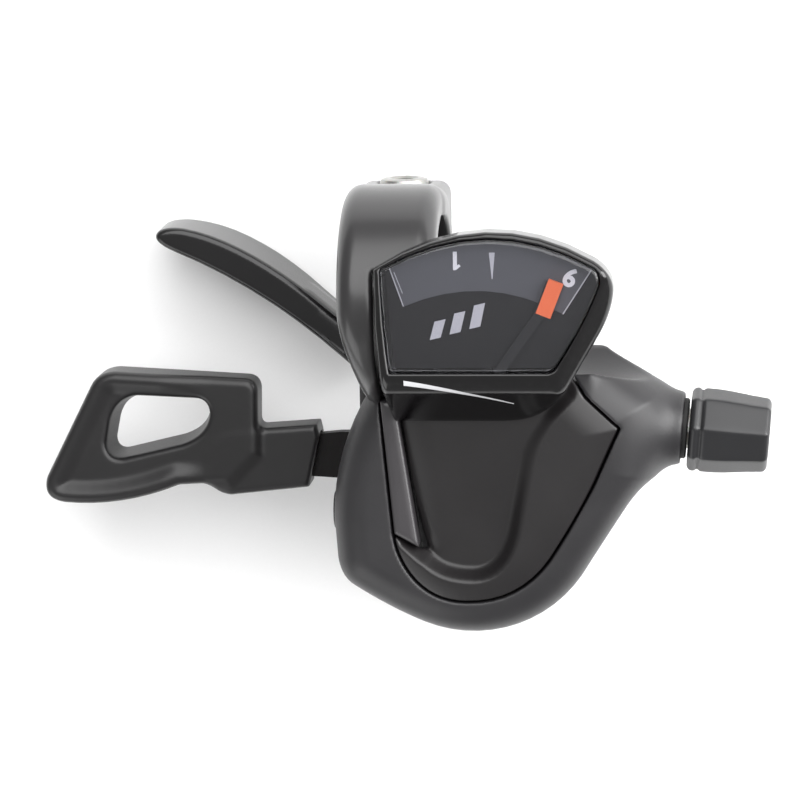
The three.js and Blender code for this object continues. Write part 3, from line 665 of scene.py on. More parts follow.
@dataclass(frozen=True)
class Clear:
    """Smoked PMMA, moulded and polished, as a display's window."""

    name: str
    tint: str
    scuff_mm: float = 1.5  # spacing of the scuffs
    ior: float = 1.49

    def material(self) -> bpy.types.Material:
        """Lets the dial through a little darker, under a sharp reflection with faint scuffs.

        Returns:
            The material.
        """
        material, tree, place = new_material(self.name)
        scuffs = noise(tree, place, self.scuff_mm, 5.0)
        span = {"From Min": 0.45, "From Max": 0.8, "To Min": 0.03, "To Max": 0.09}
        rough = add(tree, "ShaderNodeMapRange", span, {"Value": scuffs.outputs["Fac"]})
        through = add(tree, "ShaderNodeBsdfTransparent", {"Color": linear(self.tint)})
        gloss = add(tree, "ShaderNodeBsdfGlossy", {"Color": (1, 1, 1, 1)}, {"Roughness": rough.outputs[0]})
        facing = add(tree, "ShaderNodeLayerWeight", {"Blend": 0.5})
        grazing = add(tree, "ShaderNodeMath", {"operation": "POWER", 1: 5.0}, {0: facing.outputs["Facing"]})
        head_on = ((self.ior - 1) / (self.ior + 1)) ** 2  # the share that is reflected straight back
        ends = {"To Min": head_on, "To Max": 1.0}
        share = add(tree, "ShaderNodeMapRange", ends, {"Value": grazing.outputs[0]})
        parts = {0: share.outputs[0], 1: through.outputs[0], 2: gloss.outputs[0]}
        finished(tree, add(tree, "ShaderNodeMixShader", links=parts))
        return material


@dataclass(frozen=True)
class Painted:
    """A cast aluminium part under satin powder paint."""

    name: str
    colour: str
    roughness: float
    peel_mm: float = 1.1  # spacing of the paint's orange peel
    fleck_mm: float = 0.15  # spacing of the powder's flecks

    def material(self) -> bpy.types.Material:
        """A smooth sheen whose reflections waver, as powder paint flows out unevenly.

        Returns:
            The material.
        """
        material, tree, place = new_material(self.name)
        rough = (self.roughness - 0.04, self.roughness + 0.08)
        texture = Texture(self.fleck_mm, 1.0, rough, 0.012, 0.5, self.peel_mm, 2.0)
        coat = {"Base Color": linear(self.colour), "IOR": 1.5, "Coat Weight": 0.35, "Coat Roughness": 0.18}
        texture.surface(tree, place, coat, {})
        return material


@dataclass(frozen=True)
class Metal:
    """Bare, plated or blackened metal with the marks of its tools."""

    name: str
    colour: str
    roughness: float
    marks_mm: float = 0.12  # spacing of the tool marks
    stain_mm: float = 3.0  # spacing of the stains
    metallic: float = 1.0

    def material(self) -> bpy.types.Material:
        """Fine streaks across the surface that stretch and dull its highlights.

        Returns:
            The material.
        """
        material, tree, place = new_material(self.name)
        streaks = add(tree, "ShaderNodeMapping", {"Scale": (1.0, 0.15, 1.0)}, {"Vector": place}).outputs[0]
        marks = noise(tree, streaks, self.marks_mm, 2.0)
        stain = noise(tree, place, self.stain_mm, 3.0)
        darkened = {"data_type": "RGBA", "blend_type": "MULTIPLY", 6: linear(self.colour)}
        colour = add(tree, "ShaderNodeMix", darkened, {0: stain.outputs["Fac"], 7: marks.outputs["Color"]})
        rough = (self.roughness - 0.08, self.roughness + 0.12)
        texture = Texture(self.marks_mm, 2.0, rough, 0.006, 0.4)
        texture.surface(tree, streaks, {"Metallic": self.metallic}, {"Base Color": colour.outputs[2]})
        return material


@dataclass(frozen=True)
class Printed:
    """A matt printed layer: pad-printed ink on plastic, or the paper of the floor; its pale grey also lays
    the painted highlights on the dial and the lip.
    """

    name: str
    colour: str
    shade: str
    roughness: float = 0.55
    mottle_mm: float = 0.4  # spacing of the mottle

    def material(self) -> bpy.types.Material:
        """A flat colour with the slight mottle of a printed layer.

        Returns:
            The material.
        """
        material, tree, place = new_material(self.name)
        mottle = noise(tree, place, self.mottle_mm, 3.0).outputs["Fac"]
        bump = add(tree, "ShaderNodeBump", {"Strength": 0.3, "Distance": 0.004 * MM}, {"Height": mottle})
        links = {"Base Color": blend(tree, self.colour, self.shade, mottle), "Normal": bump.outputs[0]}
        shine = {"Roughness": self.roughness, "IOR": 1.5}
        finished(tree, add(tree, "ShaderNodeBsdfPrincipled", shine, links))
        return material


class Finish(Enum):
    """Every finish on the shifter."""

    HOUSING = Moulded("glass_filled_nylon_moulded", "1e1d1f", "242325", 0.42)
    COVER = Moulded("asa_cover_moulded", "151314", "1a1819", 0.36, texture_mm=0.28, relief_mm=0.008)
    TRIM = Moulded("abs_trim_satin", "353335", "3a383a", 0.3, texture_mm=0.25, relief_mm=0.004)
    LEVER = Moulded("nylon_lever_moulded", "0f0e0f", "141314", 0.2, texture_mm=0.3, relief_mm=0.008)
    TRIGGER = Moulded("nylon_trigger_moulded", "131213", "181718", 0.36, texture_mm=0.3, relief_mm=0.01)
    KNOB = Moulded("pom_knob_moulded", "18181a", "1d1d1f", 0.34, texture_mm=0.3)
    CLAMP = Painted("aluminium_powder_painted", "222122", 0.32)
    BEZEL = Glossy("abs_piano_black", "070607", 0.14)
    DIAL = Glossy("dial_black_lacquer", "050405", 0.4)
    LENS = Clear("pmma_smoked", "ececef")
    BAND = Printed("dial_grey_ink", "515255", "57585b")
    INK = Printed("white_ink", "f0f0f0", "e8e8e8")
    # pale grey ink for the plain marks, used also for the painted highlights on the dial and along the lip
    PALE_INK_AND_PAINTED_HIGHLIGHT = Printed("grey_ink", "c8c8ca", "bebec1")
    ORANGE = Printed("orange_ink", "fa7c4a", "f67443", 0.5)
    STEEL = Metal("steel_zinc_plated", "b9b8b4", 0.32)
    BLACK_STEEL = Metal("steel_black_oxide", "1d1b1b", 0.42, metallic=0.7)
    BRONZE = Metal("bronze_turned", "a9834a", 0.35)
    NYLON = Moulded("natural_nylon_moulded", "d2cec2", "dad6cb", 0.5)
    FLOOR = Printed("matt_white_paper", "f4f4f4", "f1f1f1", 0.9)
    RUBBER = Moulded("rubber_moulded", "161616", "1b1b1b", 0.7, texture_mm=0.5, relief_mm=0.02)


MATERIALS: dict[Finish, bpy.types.Material] = {}


def dress(piece: bpy.types.Object, finish: Finish) -> None:
    """Gives a piece its finish.

    Args:
        piece: the piece.
        finish: the finish, whose material is made once and shared.
    """
    if finish not in MATERIALS:
        MATERIALS[finish] = finish.value.material()
    piece.data.materials.clear()
    piece.data.materials.append(MATERIALS[finish])


def settle(piece: bpy.types.Object, body: str, finish: Finish, slot: str, *replaced: str) -> None:
    """Dresses a finished piece and ties it to the frame.

    Args:
        piece: the piece.
        body: the CAD body that it moves with.
        finish: its finish.
        slot: the record's material slot; not used.
        replaced: the CAD nodes that it stands for.
    """
    dress(piece, finish)
    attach(piece, body)
    if replaced:
        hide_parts(*replaced)
    log.info("%s rides on %s, %d faces", piece.name, body, len(piece.data.polygons))


# ---------------------------------------------------------------- the housing and its covers


def cable_frame() -> Matrix:
    """Places the cable's axis.

    Returns:
        The placing with local Z along the cable, local X across it and its origin at the spool.
    """
    axis = joint_axis("adjuster_travel")
    along = Vector(axis)
    across = Vector((-along.y, along.x, 0))
    back = float(np.dot(SCREW.centre - AXLE, axis))
    start = Vector(SCREW.centre) - along * back
    turn = Matrix((across, Vector((0, 0, 1)), along)).transposed().to_4x4()
    return Matrix.Translation(start) @ turn


@dataclass
class Body:
    """The housing, its cover and the trim strip."""

    belly: float = 18.5  # radius of its round end about the main axle
    crown: float = 7.1  # the height that the cover's edge and the housing meet at
    shoulder_fall: float = 5.2  # radius of the housing's upper edge
    seam: float = 0.15  # half the gap round the cover
    sill: float = 3.3  # the height that the cover's seat is cut down to
    cavity: float = 15.6  # radius of the room for the works
    cavity_top: float = 3.0
    neck_radius: float = 5.05
    neck_end: float = 28.5  # how far the neck runs along the cable
    neck_length: float = 14.0
    neck_flare: tuple[float, float] = (0.17, 0.03)  # its widening per millimetre, and per square millimetre
    neck_drop: float = 0.9  # how far its top stays under the crown
    bore: tuple[float, float] = (3.1, 10.0)  # radius of the cable's bore, and where it starts
    mouth: tuple[float, float] = (4.5, 27.9)  # the same for the recess in the neck's end
    port_radius: float = 3.3
    needle_ring: tuple[float, float] = (16.6, 0.9)  # radius of the needle's slot, and half its width
    bar_gap: float = 0.1  # what the cover and the trim keep clear beyond the bar's room
    bulge: float = 4.5  # distance from the cover's edge over which it bulges
    cover_rise: float = 0.8  # how far the cover bulges above its own edge
    scoop_top: float = 0.9  # depth of the cover's scoop by the display
    scoop_foot: float = 2.2  # and at its round end
    scoop_run: tuple[float, float] = (16.0, 25.0)  # where it starts to deepen, and over what distance
    trim_rise: float = 0.45
    trim_edge: tuple[float, float] = (1.1, 0.3)  # width of the trim's rounded edge, and how fast it falls

    def outline(self) -> Outline:
        """The housing from above, run on under the display so that its edge there stays full height."""
        return Outline.drawn(
            (-13.9, 16.5), (-19.5, 7.5, -19.5, -2), (-19.1, -8), (-18.7, -10.8, -16.7, -12),
            (-11.7, -15.2, *polar(self.belly, -112)), *arc(self.belly, -112, -34), (18.2, -5.8, 21.0, -1.5),
            (22.4, 0.6, 24.4, 3.6), (24.8, 14.6), (22.4, 16.6, 18.2, 17.6), (15.2, 19.0, 13.0, 30.0),
            (-9.0, 30.0), about=AXLE,
        )

    def cover_outline(self) -> Outline:
        """The cover from above."""
        return Outline.drawn(
            (-10.6, 20.5), (-9.7, 13.8), (-6.9, -5.8), (-10.7, -3.7), (-10.4, -6.6, -8.5, -9.3),
            (-5.6, -13.3, -0.6, -13.3), (6.6, -13.4, 11.0, -7.4), (14.8, -1.6, 17.5, 3.8), (20.9, 11.4),
            (16.2, 15.8), (13.2, 20.5), about=AXLE,
        )

    def scoop_outline(self) -> Outline:
        """The hollow in the cover, open towards the display."""
        return Outline.drawn(
            (-16.0, 24.0), (-9.6, -4.9), (-6.4, -7.4), (-4.2, -9.9, 0.4, -9.9), (4.9, -9.8, 6.5, -3.6),
            (7.6, 2.0, 8.6, 7.4), (9.8, 11.2, 14.5, 15.7), (18.0, 24.0), about=AXLE,
        )

    def trim_outline(self) -> Outline:
        """The strip beside the cover."""
        return Outline.drawn((-12.4, 15.4), (-9.95, 15.4), (-6.9, -5.8), (-10.7, -3.7), about=AXLE)

    def from_cable(self, x: Array, y: Array, z: Array) -> tuple[Array, Array]:
        """Measures places against the cable's axis.

        Args:
            x: the places' distances along X.
            y: along Y.
            z: along Z.

        Returns:
            How far they are from the axis, and how far along it.
        """
        place = np.array(cable_frame())
        start, across, along = place[:3, 3], place[:3, 0], place[:3, 2]
        v = (x - start[0]) * across[0] + (y - start[1]) * across[1]
        u = (x - start[0]) * along[0] + (y - start[1]) * along[1]
        return np.sqrt(v**2 + (z - start[2]) ** 2), u

    def neck(self, x: Array, y: Array, z: Array) -> Array:
        """The flared neck that the cable comes out of.

        Args:
            x: the places' X.
            y: their Y.
            z: their Z.

        Returns:
            The distances from the surface, negative inside.
        """
        away, along = self.from_cable(x, y, z)
        back = np.maximum(self.neck_end - along, 0)
        flared = away - (self.neck_radius + self.neck_flare[0] * back + self.neck_flare[1] * back**2)
        shape = round_max(flared, layer(along, self.neck_end - self.neck_length, self.neck_end), 0.5)
        return round_max(shape, z - self.crown + self.neck_drop, 2.0)

    def housing(self, x: Array, y: Array, z: Array) -> Array:
        """The shell: a domed body with the neck, cut for the bar, the covers and the works.

        Args:
            x: the places' X.
            y: their Y.
            z: their Z.

        Returns:
            The distances from the surface, negative inside.
        """
        plan = self.outline().distance(x, y)
        shell = round_max(plan, z - self.crown, self.shoulder_fall)
        shell = round_min(shell, self.neck(x, y, z), 4.0)
        shell = round_max(shell, HOUSING.low[2] - z, 1.3)
        shell = round_max(shell, y - HOUSING.high[1], 0.4)
        shell = cut(shell, away_from(y, z) - BAR_ROOM, 0.4)
        shell = cut(shell, np.maximum(away_from(x, y, AXLE) - self.cavity, z - self.cavity_top), 0.2)
        for hole in (self.cover_outline(), self.trim_outline()):
            shell = cut(shell, np.maximum(hole.distance(x, y) - self.seam, self.sill - z), 0.16)
        path = np.maximum(self.needle_path(x, y), layer(x, 0.0, NEEDLE_SWEEP[1]))
        shell = np.maximum(shell, -np.maximum(path, 2.0 - z))
        shell = np.maximum(shell, -np.maximum(self.tongue_room().distance(x, y), z + 6.0))
        plug = Span.of("cable_port_plug")
        port = np.maximum(away_from(y, z, plug.centre[1:]) - self.port_radius, x - plug.high[0] - 0.4)
        shell = cut(shell, port, 0.3)
        away, along = self.from_cable(x, y, z)
        for (radius, start), rounding in ((self.mouth, 0.2), (self.bore, 0.3)):
            shell = cut(shell, np.maximum(away - radius, start - along), rounding)
        return shell

    def tongue_room(self) -> Outline:
        """Where the clamp's tongue reaches in under the housing."""
        return Outline.drawn(
            (-17.1, 17.6), (-6.5, 17.6), (-6.5, 12.8), (-10.7, 7.8), (-10.7, 5.2), (-17.1, 5.2), about=AXLE,
        )

    def cover(self, x: Array, y: Array, z: Array) -> Array:
        """The cover: flush at its edge, with a scoop that deepens away from the display.

        Args:
            x: the places' X.
            y: their Y.
            z: their Z.

        Returns:
            The distances from the surface, negative inside.
        """
        plan = self.cover_outline().distance(x, y)
        scoop = self.scoop_outline().distance(x, y)
        start, run = self.scoop_run
        deepening = smooth_step(AXLE[1] + start - y, 0.0, run)
        deep = self.scoop_top + (self.scoop_foot - self.scoop_top) * deepening
        inward = np.clip(-plan / self.bulge, 0, 1)
        top = self.crown + self.cover_rise * (1 - (1 - inward) ** 2) - deep * smooth_step(-scoop, -0.7, 1.5)
        shape = round_max(plan + self.seam, (z - top) * 0.9, 0.22)
        shape = round_max(shape, COVER.low[2] - z, 0.2)
        works = np.maximum(away_from(x, y, AXLE) - self.cavity + 1, z - 5.2)
        shape = np.maximum(shape, -works)
        shape = np.maximum(shape, -np.maximum(self.needle_path(x, y), layer(x, *NEEDLE_SWEEP)))
        return cut(shape, away_from(y, z) - BAR_ROOM - self.bar_gap, 0.3)

    def needle_path(self, x: Array, y: Array) -> Array:
        """The curved slot, towards the display, that the indicator's arm comes up through."""
        radius, half = self.needle_ring
        return np.maximum(np.abs(away_from(x, y, AXLE) - radius) - half, AXLE[1] - y)

    def trim(self, x: Array, y: Array, z: Array) -> Array:
        """The strip: a narrow pillow between two seams.

        Args:
            x: the places' X.
            y: their Y.
            z: their Z.

        Returns:
            The distances from the surface, negative inside.
        """
        plan = self.trim_outline().distance(x, y)
        width, fall = self.trim_edge
        top = self.crown + self.trim_rise - fall * np.maximum(0, plan + width) ** 2
        shape = round_max(round_max(plan + self.seam, z - top, 0.3), TRIM.low[2] - z, 0.2)
        return cut(shape, away_from(y, z) - BAR_ROOM - self.bar_gap, 0.3)

    def build(self) -> None:
        """Makes the three pieces and ties them to the frame."""
        margin = np.array([3.0, 2.0, 2.0])
        shapes = (
            ("housing_shell", self.housing, HOUSING, 0.3, Finish.HOUSING, "housing_plastic", "housing"),
            ("cover_moulding", self.cover, COVER, 0.22, Finish.COVER, "cover_plastic", "top_cover"),
            ("trim_strip", self.trim, TRIM, 0.2, Finish.TRIM, "cover_plastic", "side_trim"),
        )
        for name, shape, span, step, finish, slot, node in shapes:
            settle(moulding(name, shape, span, margin, step), "shifter_body", finish, slot, node)


# ---------------------------------------------------------------- the display


@dataclass
class Display:
    """The gear display over the handlebar: its case, dial, needle tip and window."""

    seam: float = 0.12  # gap round the window
    floor: float = 14.5  # the bottom of the case's hollow
    dial_top: float = 15.4
    ink: float = 0.12  # how far the printed marks and the painted highlights stand above the dial
    window_foot: float = 17.0
    window_edge: float = 17.9
    window_dome: float = 0.35
    dome_middle: tuple[float, float] = (13.0, 0.5)
    dome_square: float = 230.0  # square of the distance from its middle where the dome is down to the edge
    facet_top: float = 17.95
    facet_lean: float = 42.0  # degrees that the stem side falls away by
    digit_height: float = 2.5
    cap_share: float = 0.72  # the height of a digit for each unit of its letter size
    ring_gap: float = 0.3  # what the case keeps clear of the clamp
    channel: tuple[float, float] = (16.8, 1.0)  # radius of the needle's channel, and half its width
    needle_angle: float = 68.6  # degrees round the main axle
    needle_reach: tuple[float, float] = (30.6, 35.6)  # how far the tip's ends are from the main axle
    needle_width: float = 2.1
    stripe_steps: tuple[int, int] = (60, 4)  # faces of the painted highlight on the lip, along it and across it
    facet_from: tuple[Point, Point] = ((29.9, 5.6), (23.9, -8.6))  # where the stem side's facet starts
    lip_wall: float = 0.58  # how far the needle's channel leans per millimetre of height

    def case_outline(self) -> Outline:
        """The case from above."""
        return Outline.drawn(
            (-1.2, 6.0), (14.2, 15.4, 28.6, 7.0), (31.4, 5.2, 31.1, 2.4), (30.8, -0.4, 29.2, -3.2),
            (25.3, -9.8), (23.6, -12.6, 21.8, -14.3), (19.2, -16.8, 15.6, -16.8), (0.2, -16.8),
            (-0.5, -9, -1.1, -2),
        )

    def window_outline(self) -> Outline:
        """The window from above."""
        return Outline.drawn(
            (-0.2, 5.9), (14.4, 14.1, 28.6, 6.0), (29.6, 5.2, 29.2, 3.6), (27.2, -1.6, 23.5, -7.2),
            (23.0, -8.0, 22.0, -8.0), (0.9, -8.0), (0.1, -3, -0.2, 5.9),
        )

    def side_outline(self) -> Outline:
        """The case from the stem's side, along Y and Z: a flat top and a lip that slopes down."""
        return Outline.drawn(
            (14, 17.4), (-8.2, 18.2), (-10.4, 18.2, -11.4, 16.4), (-14.4, 11.8, -16.9, 7.15), (-9.5, 7.15),
            (-6, 12.2), (14, 12.2),
        )

    def case(self, x: Array, y: Array, z: Array) -> Array:
        """The case, cut for the bar, the clamp, the dial and the needle's arm.

        Args:
            x: the places' X.
            y: their Y.
            z: their Z.

        Returns:
            The distances from the surface, negative inside.
        """
        shape = round_max(self.case_outline().distance(x, y), self.side_outline().distance(y, z), 0.9)
        (ax, ay), (bx, by) = self.facet_from
        span = math.hypot(bx - ax, by - ay)
        away = ((x - ax) * (ay - by) + (y - ay) * (bx - ax)) / span
        lean = math.radians(self.facet_lean)
        shape = round_max(shape, away * math.sin(lean) + (z - self.facet_top) * math.cos(lean), 0.5)
        around = away_from(y, z)
        shape = cut(shape, around - BAR_ROOM - 0.4, 0.3)
        ring = np.maximum(around - CLAMP.high[1] - self.ring_gap, x - CLAMP.high[0] - self.ring_gap)
        shape = cut(shape, np.maximum(np.maximum(ring, 4.9 - y), -z), 0.3)
        window = self.window_outline().distance(x, y)
        shape = cut(shape, np.maximum(window - self.seam, self.floor - z), 0.15)
        leant = away_from(x, y, AXLE) - self.lip_wall * np.maximum(z - 9, 0)
        radius, half = self.channel
        channel = np.maximum(np.abs(leant - radius) - half, layer(x, *NEEDLE_SWEEP))
        return np.maximum(shape, -np.maximum(channel, z - 16.0))

    def window(self, x: Array, y: Array, z: Array) -> Array:
        """The window: clear, slightly domed, with soft edges.

        Args:
            x: the places' X.
            y: their Y.
            z: their Z.

        Returns:
            The distances from the surface, negative inside.
        """
        dome = 1 - ((x - self.dome_middle[0]) ** 2 + (y - self.dome_middle[1]) ** 2) / self.dome_square
        top = self.window_edge + self.window_dome * dome
        shape = round_max(self.window_outline().distance(x, y), z - top, 0.45)
        return round_max(shape, self.window_foot - z, 0.15)

    def dial(self) -> None:
        """The dial: black lacquer with a grey band, a number at each end and plain marks, with pale painted
        highlights at the band's ends and a painted reflection in a small wedge.
        """
        ink, low = "dial_print", self.dial_top
        window = self.window_outline()
        inner = Outline(window.points + (window.points.mean(0) - window.points) * 0.03)
        settle(plate("dial_black", inner, low - 0.7, low), "shifter_body", Finish.DIAL, ink, "dial_plate")
        band = Outline.drawn((0.9, 5.9), (14.2, 12.9, 28.4, 5.7), (24.3, -0.4), (13.9, 5.4, 2.7, 0.7))
        settle(plate("dial_band", band, low, low + 0.08), "shifter_body", Finish.BAND, ink)
        # the three pale lines at the band's ends are painted highlights and the small wedge is a painted
        # reflection; only the plain marks are print
        lines = {
            "band_end_painted_highlight_1": bar_between((0.9, 5.9), (2.7, 0.7), 0.14),
            "band_end_painted_highlight_2": bar_between((1.5, 5.4), (2.6, 2.5), 0.09),
            "band_end_painted_highlight_3": bar_between((28.2, 5.6), (24.3, -0.4), 0.16),
            "wedge_painted_reflection": Outline(np.array([(14.4, 8.0), (15.2, 8.0), (14.85, 4.4), (14.75, 4.4)])),
        }
        for i in range(3):
            x, y, tall = 6.2 + 2.7 * i, -3.9 + 0.75 * i, 2.5 + 0.35 * i
            corners = [(x, y), (x + 1.5, y + 0.35), (x + 2.2, y + 0.35 + tall), (x + 0.7, y + tall)]
            lines[f"plain_mark_{i + 1}"] = Outline(np.array(corners))
        for name, outline in lines.items():
            settle(plate(name, outline, low, low + self.ink), "shifter_body", Finish.PALE_INK_AND_PAINTED_HIGHLIGHT, ink)
        one = Outline.drawn(
            (-0.27, 1.25), (-0.27, -1.25), (0.1, -1.25), (0.75, -0.75), (0.55, -0.45), (0.27, -0.6),
            (0.27, 1.25), about=(9.8, 6.9),
        )
        settle(plate("digit_1", one, low, low + 0.14), "shifter_body", Finish.INK, ink)
        settle(self.digit("9", (25.4, 4.7), 155.0), "shifter_body", Finish.INK, ink)

    def digit(self, text: str, place: Point, turn: float) -> bpy.types.Object:
        """A raised number on the dial, upright for the rider.

        Args:
            text: the number.
            place: its middle.
            turn: degrees that it is turned by.

        Returns:
            The number's mesh.
        """
        curve = bpy.data.curves.new(f"digit_{text}", "FONT")
        curve.body, curve.align_x, curve.align_y = text, "CENTER", "CENTER"
        curve.size = self.digit_height / self.cap_share * MM
        curve.offset, curve.extrude = 0.12 * MM, 0.03 * MM
        word = bpy.data.objects.new(f"digit_{text}_curve", curve)
        mesh = bpy.data.meshes.new_from_object(word)
        bpy.data.objects.remove(word)
        spot = Matrix.Translation(Vector((*place, self.dial_top + self.ink)) * MM)
        mesh.transform(spot @ Matrix.Rotation(math.radians(turn), 4, "Z"))
        made = bpy.data.objects.new(f"digit_{text}", mesh)
        bpy.context.scene.collection.objects.link(made)
        return made

    def needle(self) -> None:
        """The needle's painted tip, a sleeve over the end of its arm."""
        high = NEEDLE.high[2]
        root, tip = (np.array(polar(reach, self.needle_angle)) + AXLE[:2] for reach in self.needle_reach)
        made = plate("needle_tip", bar_between(root, tip, self.needle_width), high - 0.65, high + 0.06)
        settle(made, "indicator", Finish.ORANGE, "indicator_orange")

    def stripe(self, case: bpy.types.Object) -> None:
        """A pale tapered line along the lip, a painted highlight where light catches its glossy curve.

        Args:
            case: the case, whose own surface the line is laid on.
        """
        (steps, rows), points = self.stripe_steps, []
        for i in range(steps + 1):
            t = i / steps
            x, y = 2.8 + 14.6 * t, -9.4 - 2.0 * t - 1.5 * t * t
            half = 0.36 * (1 - 0.75 * t)
            for j in range(rows + 1):
                away = half * (2 * j / rows - 1)
                start = Vector((x, y + away, 30)) * MM
                hit, spot, normal, _ = case.ray_cast(start, Vector((0, 0, -1)))
                points.append(tuple((spot + normal * 0.02 * MM) / MM))
        width = rows + 1
        faces = [
            [i * width + j, (i + 1) * width + j, (i + 1) * width + j + 1, i * width + j + 1]
            for i in range(steps)
            for j in range(rows)
        ]
        # the pale line on the lip is a painted highlight
        made = mesh_piece("lip_painted_highlight", np.array(points), faces)
        settle(made, "shifter_body", Finish.PALE_INK_AND_PAINTED_HIGHLIGHT, "dial_print")

    def build(self) -> None:
        """Makes the display and ties it to the frame."""
        case = moulding("display_case", self.case, BEZEL, 2.5, 0.2)
        self.stripe(case)
        settle(case, "shifter_body", Finish.BEZEL, "gloss_trim", "display_bezel")
        window = moulding("display_window", self.window, LENS, 3.0, 0.16)
        settle(window, "shifter_body", Finish.LENS, "lens", "display_lens")
        self.dial()
        self.needle()


# ---------------------------------------------------------------- the clamp


@dataclass
class Clamp:
    """The handlebar clamp with its bolt."""

    wall: float = 4.4
    half_width: float = 6.75
    waist: float = 2.6  # how much its outer side narrows on its way to the far side of the bar
    arm_width: float = 5.2  # its width beside the display
    arm_from: float = 5.2  # the distance along Y where that starts
    lug_middle: tuple[float, float] = (2.4, -9.35)
    lug_half: tuple[float, float] = (11.8, 9.35)
    tongue: tuple[float, float] = (-9.2, -6.4)  # the heights of the tongue's two sides
    slit: float = 1.6
    bolt_z: float = -14.2
    bolt_hole: float = 2.3
    nut_room: float = 3.7
    screw_hole: float = 1.4
    head_radius: float = 3.5
    head: tuple[float, float] = (10.9, 14.9)  # the bolt head's foot and top along Y

    def band(self, x: Array, y: Array, z: Array) -> Array:
        """The band, narrowed beside the display, with its lugs and the tongue to the housing.

        Args:
            x: the places' X.
            y: their Y.
            z: their Z.

        Returns:
            The distances from the surface, negative inside.
        """
        around = away_from(y, z)
        outer = BAR_RADIUS + self.wall
        narrower = self.waist * smooth_step(-y, 0.0, 15.0)
        edge = np.maximum(x - self.half_width, -x - self.half_width + narrower)
        ring = round_max(edge, around - outer, 2.4)
        (middle_y, middle_z), (half_y, half_z) = self.lug_middle, self.lug_half
        lug = round_max(np.abs(y - middle_y) - half_y, np.abs(z - middle_z) - half_z, 2.0)
        lug = round_max(lug, np.abs(x) - self.half_width + 0.3, 1.8)
        shape = round_min(ring, lug, 1.5)
        tongue = Outline.drawn(
            (-16.7, 17.2), (-6.9, 17.2), (-6.9, 13), (-11.1, 8), (-11.1, 5.6), (-16.7, 5.6), about=AXLE,
        )
        arm = round_max(tongue.distance(x, y), layer(z, *self.tongue), 0.4)
        shape = round_min(shape, arm, 1.0)
        shape = round_max(shape, BAR_RADIUS - around, 0.5)
        side = self.arm_width - self.half_width
        narrowed = np.maximum(np.maximum(side - x, y - self.arm_from), np.maximum(-3 - z, -20 - y))
        shape = cut(shape, narrowed, 0.7)
        shape = cut(shape, np.maximum(np.abs(y) - self.slit / 2, z), 0.3)
        away = away_from(x, z, (0, self.bolt_z))
        shape = cut(shape, np.maximum(away - self.head_radius - 0.3, self.head[0] - 0.3 - y), 0.3)
        shape = cut(shape, away - self.bolt_hole, 0.2)
        nut = Span.of("clamp_nut")
        square = np.maximum(np.abs(x), np.abs(z - self.bolt_z)) - self.nut_room
        shape = cut(shape, np.maximum(square, y - nut.high[1] - 0.3), 0.2)
        screw = Span.of("bracket_screw").centre
        return cut(shape, np.maximum(away_from(x, y, screw) - self.screw_hole, z), 0.1)

    def bolt(self) -> bpy.types.Object:
        """The bolt, its head's edge rounded over and a round socket sunk in it.

        Returns:
            The bolt.
        """
        foot, top = self.head
        wide = self.head_radius
        shank = Span.of("clamp_bolt").low[1]
        profile = [(0, shank), (1.7, shank), (2.0, shank + 0.4), (2.0, foot)]
        profile += [(wide - 0.2, foot), (wide, foot + 0.2), (wide, top - 0.7), (wide - 0.2, top - 0.2)]
        profile += [(wide - 0.7, top), (2.1, top), (1.75, top - 0.3), (1.75, top - 2.2), (0, top - 2.4)]
        return turned("clamp_bolt_finished", profile, along_axis((0, 0, self.bolt_z), (0, 1, 0)))

    def build(self) -> None:
        """Makes the band and the bolt and ties them to the frame."""
        band = moulding("clamp_finished", self.band, CLAMP, 0.5, 0.3)
        settle(band, "shifter_body", Finish.CLAMP, "clamp_paint", "clamp_band")
        settle(self.bolt(), "shifter_body", Finish.STEEL, "steel", "clamp_bolt")


# ---------------------------------------------------------------- the levers


@dataclass
class ThumbLever:
    """The thumb lever's moulded blade."""

    top: float = -18.9
    height: float = 12.0
    lean: float = 0.04  # how far it leans out per millimetre of height
    tip_rise: float = 3.4  # how much shallower it is at its tip
    root_rise: float = 2.4  # and where it meets the arm
    arm_gap: float = 0.05

    def outline(self) -> Outline:
        """The blade's top edge from above: a long curve with a round tip."""
        return Outline.drawn(
            (-16.5, 13.4), (-30.5, 26.6, -45.0, 32.6), (-48.6, 34.2, -47.4, 35.5),
            (-46.4, 36.4, -43.5, 36.0), (-36.0, 34.6, -26.5, 27.4), (-13.9, 17.1), about=AXLE,
        )

    def blade(self, x: Array, y: Array, z: Array) -> Array:
        """The blade, leaning out towards the thumb and rounded off below, on a stout root.

        Args:
            x: the places' X.
            y: their Y.
            z: their Z.

        Returns:
            The distances from the surface, negative inside.
        """
        plan = self.outline().distance(x, y - self.lean * (self.top - z))
        shape = round_max(plan, z - self.top, 0.8)
        tip = smooth_step(-x, 22.0, 38.0)
        foot = self.top - self.height + self.tip_rise * tip**2 + self.root_rise * smooth_step(x, -22.0, -8.0)
        shape = round_max(shape, foot - z, 1.1)
        root = Outline.drawn((-14.2, 15.9), (-16.4, 13.9), (-27.6, 24.2), (-25.6, 25.6), about=AXLE)
        block = round_max(root.distance(x, y), layer(z, PAD.low[2] + 5.3, self.top - 1.6), 0.7)
        shape = round_min(shape, block, 2.0)
        sleeve = Outline.drawn(
            (1.5, 9), (-14.7, 16.3), (-23.9, 24), (-25.4, 22.3), (-16.3, 14.1), (-6.5, -5), about=AXLE,
        )
        arm, gap = Span.of("thumb_arm"), self.arm_gap
        slot = np.maximum(sleeve.distance(x, y) - gap, layer(z, arm.low[2] - gap, arm.high[2] + gap))
        return np.maximum(shape, -slot)

    def build(self) -> None:
        """Makes the blade and ties it to the thumb lever."""
        blade = moulding("thumb_blade", self.blade, PAD, 0.6, 0.3)
        settle(blade, "thumb_lever", Finish.LEVER, "lever_plastic", "thumb_paddle")


